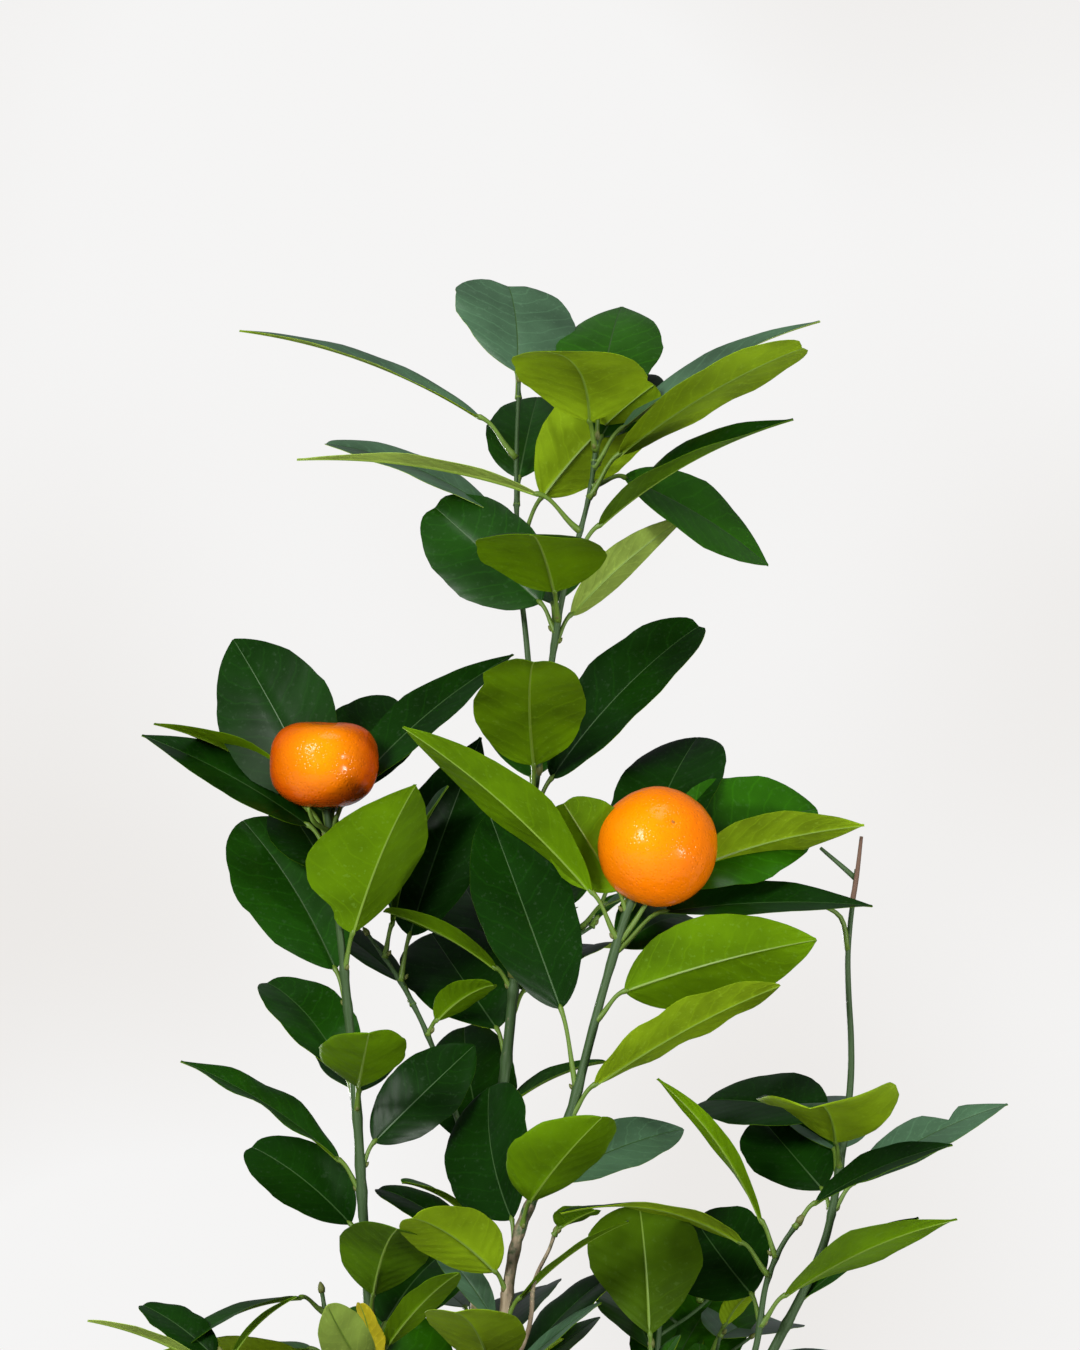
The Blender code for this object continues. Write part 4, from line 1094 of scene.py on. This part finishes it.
def blade(shape, look, rng):
    """A leaf's blade, as (points, faces, material of each face, uv)."""
    form = dict(upper=rng.choice(("deep", "deep", "mid", "mid", "painted_sheen_blue", "fresh")),
                under=rng.choice(("bright", "bright", "dull", "olive")),
                belly=rng.uniform(0.43, 0.52), base=(2.0, rng.uniform(0.6, 0.72)),
                tip=(rng.uniform(1.8, 2.3), rng.uniform(0.55, 0.8), 0.998),
                notch=rng.choice((0, 0, 0.03, 0.045)),
                bow=LEAF_BOW + rng.uniform(-0.015, 0.03), fold=LEAF_FOLD + rng.uniform(-0.07, 0.06),
                curl=rng.uniform(-0.02, 0.12), ripple=rng.uniform(0.01, 0.035), waves=rng.uniform(2, 3.6),
                phase=rng.uniform(0, 6.3), twist=rng.uniform(-0.2, 0.2), bend=rng.uniform(-0.025, 0.025),
                bite=None, turn=0, wide=1, shift=(0, 0, 0)) | LOOKS[look]
    joint, tip, roll, width, *stalk = shape
    roll += math.radians(form["turn"])
    width *= form["wide"]
    foot, length, along, across, upper = leaf_frame(joint, tip, roll, *(stalk or [None]))
    t = LEAF_T
    half = np.maximum(outline(t, form["belly"], form["base"], form["tip"]) * width / 2, 0.5)
    (wide, slow), (fine, fast) = SCALLOPS
    scallop = 1 + wide * np.sin(slow * t + form["phase"] * (2 + SIDE)) + fine * np.sin(fast * t + 9 * SIDE)
    half = half * scallop
    if form["bite"]:
        at, on_side, deep = form["bite"]
        half = half * np.where(SIDE == on_side, 1 - deep * np.exp(-((t - at) / BITE_LENGTH) ** 2), 1)
    rib = np.minimum(RIB_WIDTH[0] + (RIB_WIDTH[1] - RIB_WIDTH[0]) * t, half * 0.09)
    out = SIDE * np.where(STEP < 3, rib * STEP * np.where(on_top, 0.55, 1), half * SHARE)
    size = np.abs(out) / half
    arch = 4 * form["bow"] * length * t * (1 - t)
    rise = form["fold"] * (np.sqrt(out ** 2 + (0.12 * half) ** 2) - 0.12 * half)
    rise -= form["curl"] * half * size ** 4
    wave = 2 * np.pi * form["waves"] * t + form["phase"] + 1.9 * SIDE
    rise += form["ripple"] * half * size ** 2 * np.sin(wave)
    ridge = np.where(STEP == 0, 1, np.where(STEP == 1, 0.45, 0))
    raised = ridge * (RIB_RAISE[0] + (RIB_RAISE[1] - RIB_RAISE[0]) * t)
    thick = BLADE_THICK * (1 - 0.55 * size ** 6) + raised
    rise = rise + np.where(on_top, -ridge * RIB_GROOVE, -thick)
    turn = form["twist"] * (t - 0.5)
    ahead = length * (t - form["notch"] * np.exp(-(out / (0.11 * width)) ** 2) * t ** 12)
    sway = out * np.cos(turn) - rise * np.sin(turn) + form["bend"] * length * 4 * t * (1 - t)
    lift = out * np.sin(turn) + rise * np.cos(turn) + arch
    points = (np.array(foot) + ahead[:, None] * np.array(along) + sway[:, None] * np.array(across)
              + lift[:, None] * np.array(upper) + (4 * t * (1 - t))[:, None] * np.array(form["shift"]))
    kinds = np.array([KINDS.index(form["upper"]), KINDS.index(form["under"]),
                      KINDS.index("rib_upper"), KINDS.index("rib_under")])[face_kinds]
    return points, leaf_faces, kinds, np.stack([t, 0.5 + 0.5 * SIDE * size], axis=1)


def finer_twigs(twig, rng):
    """Short twigs from a leafy one, each with a young leaf or two, and their leaves."""
    line = eased(twig, FINER)
    for share in TWIGLETS_AT:
        base, thick = line[round(share * (len(line) - 1))]
        way = heading(rng.uniform(0, 2 * math.pi), rng.uniform(*TWIGLET_LIFT))
        end = base + way * rng.uniform(*TWIGLET_LENGTH)
        reach = rng.uniform(*TWIGLET_LEAF)
        tip = end + (way + heading(rng.uniform(0, 6.3), 0.2) * 0.5).normalized() * reach
        roll = math.radians(rng.uniform(-TWIGLET_ROLL, TWIGLET_ROLL))
        yield [(base, 0.6 * thick), (end, 0.6)], (end, tip, roll, TWIGLET_WIDTH * reach)


for name, twig in (TWIGS | SIDE_SHOOTS).items():
    start, _ = at_height(routes[twig["parent"]], twig["start"])
    routes[name] = smooth_route((start, *twig["points"]), twig["radii"])
for name, twig in SIDE_SHOOTS.items():
    # The shoot's flat foot leans with it, and its near edge keeps the gap to the parent's side.
    parent = routes[twig["parent"]]
    radius = twig["radii"][0]
    axis, thick = at_height(parent, twig["start"])
    limb = (at_height(parent, twig["start"] + SHORTEST)[0] - axis).normalized()
    outward = (Vector(twig["points"][0]) - axis).normalized()
    slope = outward.dot(limb)
    start = axis + outward * (thick + GAP + radius * abs(slope)) / math.sqrt(1 - slope * slope)
    rest = [pair for pair in routes[name]
            if (pair[0] - start).dot(outward) > SHORTEST and pair[0].z > start.z + SHORTEST]
    routes[name] = [(start, radius), *rest]
plan = plan_masses(routes)
looks_rng = random.Random(LOOKS_SEED)
for name, mass in MASSES.items():
    made = plan[name]
    route = routes[mass["shoot"]]
    if mass["shoot"] in SIDE_SHOOTS:
        side_shoot = SIDE_SHOOTS[mass["shoot"]]
        root, _ = at_height(routes[side_shoot["parent"]], side_shoot["start"])
        stem = eased([(root, ROOT_SWELL * side_shoot["radii"][0]), *route], FINER)
    else:
        low, high = mass["span"]
        stem = refined(route, low - STEM_SINK, high, STEM_SPACING)
    looks = [look for group in mass["leafy"] for look in LEAF_LOOKS[group]]
    looks += RULE_LOOKS.get(name, ())
    looks += ["plain"] * (len(made["leaves"]) - len(looks))
    leaves = list(made["leaves"])
    lines, skins = [], []    # the wood's routes, and the skin of each
    joints = [joint for joint, *_ in leaves]
    for wood in (stem, *(eased(twig, FINER) for twig in made["twigs"])):
        lines.append(knotty(slimmer(wood), joints))
        skins.append(GREEN)
        end, thick = wood[-1]
        out = (end - wood[-2][0]).normalized()
        if name not in BUDLESS or wood is not stem:
            lines.append(bud_route(end - out * 0.5, out, thick * 1.1))
            skins.append(BUD)
    if name in SAGGING:
        above, drop = SAGGING[name]
        leaves = [(joint, tip - Vector((0, 0, drop * (tip.z > above))), *rest)
                  for joint, tip, *rest in leaves]
    for *shape, look in EXTRA_LEAVES.get(name, ()):
        leaves.append(tuple(shape))
        looks.append(look)
    for twig in made["twigs"][sum(group in TWIGS for group in mass["leafy"]):]:
        for twiglet, young in finer_twigs(twig, looks_rng):
            lines.append(twiglet)
            skins.append(GREEN)
            leaves.append(young)
            looks.append("young")
    for skin, *twig in SPURS.get(name, ()):
        lines.append(eased([(Vector(p), r) for p, r in zip(twig, SPUR_RADII)], FINER))
        skins.append(skin)
    parts = []
    for (joint, tip, roll, width, *stalk), look in zip(leaves, looks):
        tip = tip + Vector(LOOKS[look].get("moved", (0, 0, 0)))
        foot, _, along, _, _ = leaf_frame(joint, tip, roll, *(stalk or [None]))
        lines.append(stalk_route(joint, foot, along))
        skins.append(STALK)
        level = Vector(((foot - joint).x, (foot - joint).y, 0)).normalized()
        out = (level + Vector((0, 0, 1.2))).normalized()
        lines.append(bud_route(joint + level * BUD_SEAT[0] + Vector((0, 0, BUD_SEAT[1])), out, BUD_SIZE))
        skins.append(BUD)
        parts.append(blade((joint, tip, roll, width, *stalk), look, looks_rng))
    wood = finish_mesh(tubes(lines, resolution=2, kinds=skins), "wood_" + name.removeprefix("foliage_"),
                       tan_wood if mass["shoot"] in TAN_SHOOTS else green_wood, *twig_skins)
    spray = joined_mesh("leaves_" + name.removeprefix("foliage_"), parts, leaf_skins, "Blade")
    spray.data.set_sharp_from_angle(angle=math.radians(60))
    for piece in (wood, spray):
        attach(piece, "root")
        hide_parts(name)


# The fruit. Two ripe calamondins, each on the end of a shoot: a thin glossy orange rind pitted with oil
# glands, on a small green five-lobed calyx. The left one is flattened with a dimpled top, and the right
# one shows the dot where its style was, low on its face.
# On each rind light and shade are painted: the first peel colour is painted light round a spot on the
# fruit's front, and the second is painted shade away from it.
FRUIT = {                # its mass, middle, half width and height, and how boxy it is above and below
    "left": dict(mass="foliage_left", centre=(-52, -1, 565), radii=(18.2, 14.6), square=(3.0, 2.3),
                 calyx=(0.0, 0.0, -1.0), scar=(0.06, -0.2, 1.0), scar_at=0.9, dimple=0.06,
                 painted_lit_spot=(-1, -17, 5), peel=((0.86, 0.275, 0.001), (0.63, 0.085, 0.001))),
    "right": dict(mass="foliage_right_top", centre=(59, -16, 538), radii=(20, 20), square=(2.0, 2.0),
                  calyx=(-0.36, 0.2, -0.91), scar=(0.25, -0.86, 0.44), scar_at=0.972, dimple=0,
                  painted_lit_spot=(-6, -17, 6), peel=((0.94, 0.295, 0.001), (0.87, 0.19, 0.001))),
}
LUMPS = ((0.022, 1.3), (0.006, 6))  # height as a share of the radius, and how many there are
DIMPLE_WIDTH = 0.34
SCAR_HOLLOW = (0.02, 0.10)  # depth and width, as shares of the radius
CALYX_HOLLOW = (0.05, 0.25)
CALYX_AT = 0.965         # share of the way from the fruit's middle to its skin
CALYX_GREEN = (0.13, 0.20, 0.03)
CALYX_LOBES = 5
CALYX_SIZE = (3.1, 1.3)  # radius, and how far the lobes stand out from it, mm
CALYX_STEPS = 40
SCAR_BROWN = (0.42, 0.14, 0.012)
SCAR_RADIUS = 0.6


def rind(name, painted_lit_colour, painted_shade_colour, painted_lit_spot):
    """Thin orange rind pitted with oil glands: painted light round a spot on its front, painted shade away
    from it.
    """
    made, surface, tree = new_material(name, painted_lit_colour, 0.17)
    place = node(tree, "TexCoord")["Object"]
    # Painted light and shade: lightest round the spot on the front, a deeper orange farther from it.
    apart = node(tree, "VectorMath", {0: place, 1: painted_lit_spot * MM}, operation="DISTANCE")["Value"]
    patchy = calc(tree, "MULTIPLY_ADD", noise_at(tree, place, scale=60, detail=3), 0.008, apart)
    peel = mixed(tree, ranged(tree, patchy, 0.007, 0.023), painted_lit_colour, painted_shade_colour)
    glands = node(tree, "TexVoronoi", {"Vector": place, "Scale": 780})["Distance"]
    pits = ranged(tree, glands, 0, 0.5, ease="SMOOTHSTEP")
    feed(tree, surface, {"Specular IOR Level": 0.16, "Base Color": peel,
                         "Normal": bumped(tree, pits, 0.55, 0.00022)})
    return made


def skin_point(way, wide, tall):
    """The point of a flattened ball's skin in a direction from its middle."""
    return Vector((way.x * wide, way.y * wide, way.z * tall))


def hollow(way, towards, depth, width):
    """How far a dimple round a direction sinks the skin."""
    return depth * math.exp(-((way - towards).length / width) ** 2)


def seated(bm, place, way, name, skin):
    """A small shape made in mm, with its Z axis turned to a direction and its origin put in place."""
    turn = way.to_track_quat("Z", "Y").to_matrix().to_4x4()
    bmesh.ops.transform(bm, matrix=Matrix.Translation(place) @ turn, verts=bm.verts)
    bmesh.ops.scale(bm, vec=(MM, MM, MM), verts=bm.verts)
    return finish_mesh(bm, name, skin)


calyx_skin = new_material("calyx", CALYX_GREEN, 0.6)[0]
scar_skin = new_material("style_scar", SCAR_BROWN, 0.8)[0]

for side, form in FRUIT.items():
    centre = Vector(form["centre"])
    scar = Vector(form["scar"]).normalized()
    seat = Vector(form["calyx"]).normalized()
    bm = bmesh.new()
    bmesh.ops.create_icosphere(bm, subdivisions=6, radius=1)
    for vert in bm.verts:
        way = vert.co.normalized()
        swell = (1 + LUMPS[0][0] * noise.noise(way * LUMPS[0][1] + centre)
                 + LUMPS[1][0] * noise.noise(way * LUMPS[1][1]))
        corner = form["square"][way.z < 0]
        swell *= (way.xy.length ** corner + abs(way.z) ** corner) ** (-1 / corner)
        swell -= hollow(way, scar, form["dimple"], DIMPLE_WIDTH)
        swell -= hollow(way, scar, *SCAR_HOLLOW)
        swell -= hollow(way, seat, *CALYX_HOLLOW)
        vert.co = (centre + skin_point(way, *form["radii"]) * swell) * MM
    peel = rind("peel_" + side, *form["peel"], centre + Vector(form["painted_lit_spot"]))
    fruit = finish_mesh(bm, "fruit_" + side, peel)

    bm = bmesh.new()
    knob = bm.verts.new((0, 0, 0.9))
    rim = []
    for step in range(CALYX_STEPS):
        around = 2 * math.pi * step / CALYX_STEPS
        reach = CALYX_SIZE[0] + CALYX_SIZE[1] * math.cos(CALYX_LOBES * around)
        rim.append(bm.verts.new((reach * math.cos(around), reach * math.sin(around), -0.2)))
    for near, far in zip(rim, [*rim[1:], rim[0]]):
        bm.faces.new((near, far, knob))
    bmesh.ops.solidify(bm, geom=bm.faces[:], thickness=0.5)
    bmesh.ops.recalc_face_normals(bm, faces=bm.faces)
    place = centre + skin_point(seat, *form["radii"]) * CALYX_AT
    calyx = seated(bm, place, seat, "calyx_" + side, calyx_skin)

    bm = bmesh.new()
    bmesh.ops.create_icosphere(bm, subdivisions=3, radius=SCAR_RADIUS)
    bmesh.ops.scale(bm, vec=(1, 1, 0.5), verts=bm.verts)
    place = centre + skin_point(scar, *form["radii"]) * form["scar_at"]
    dot = seated(bm, place, scar, "style_scar_" + side, scar_skin)
    for piece in (fruit, calyx, dot):
        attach(piece, "root")
        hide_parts(form["mass"])
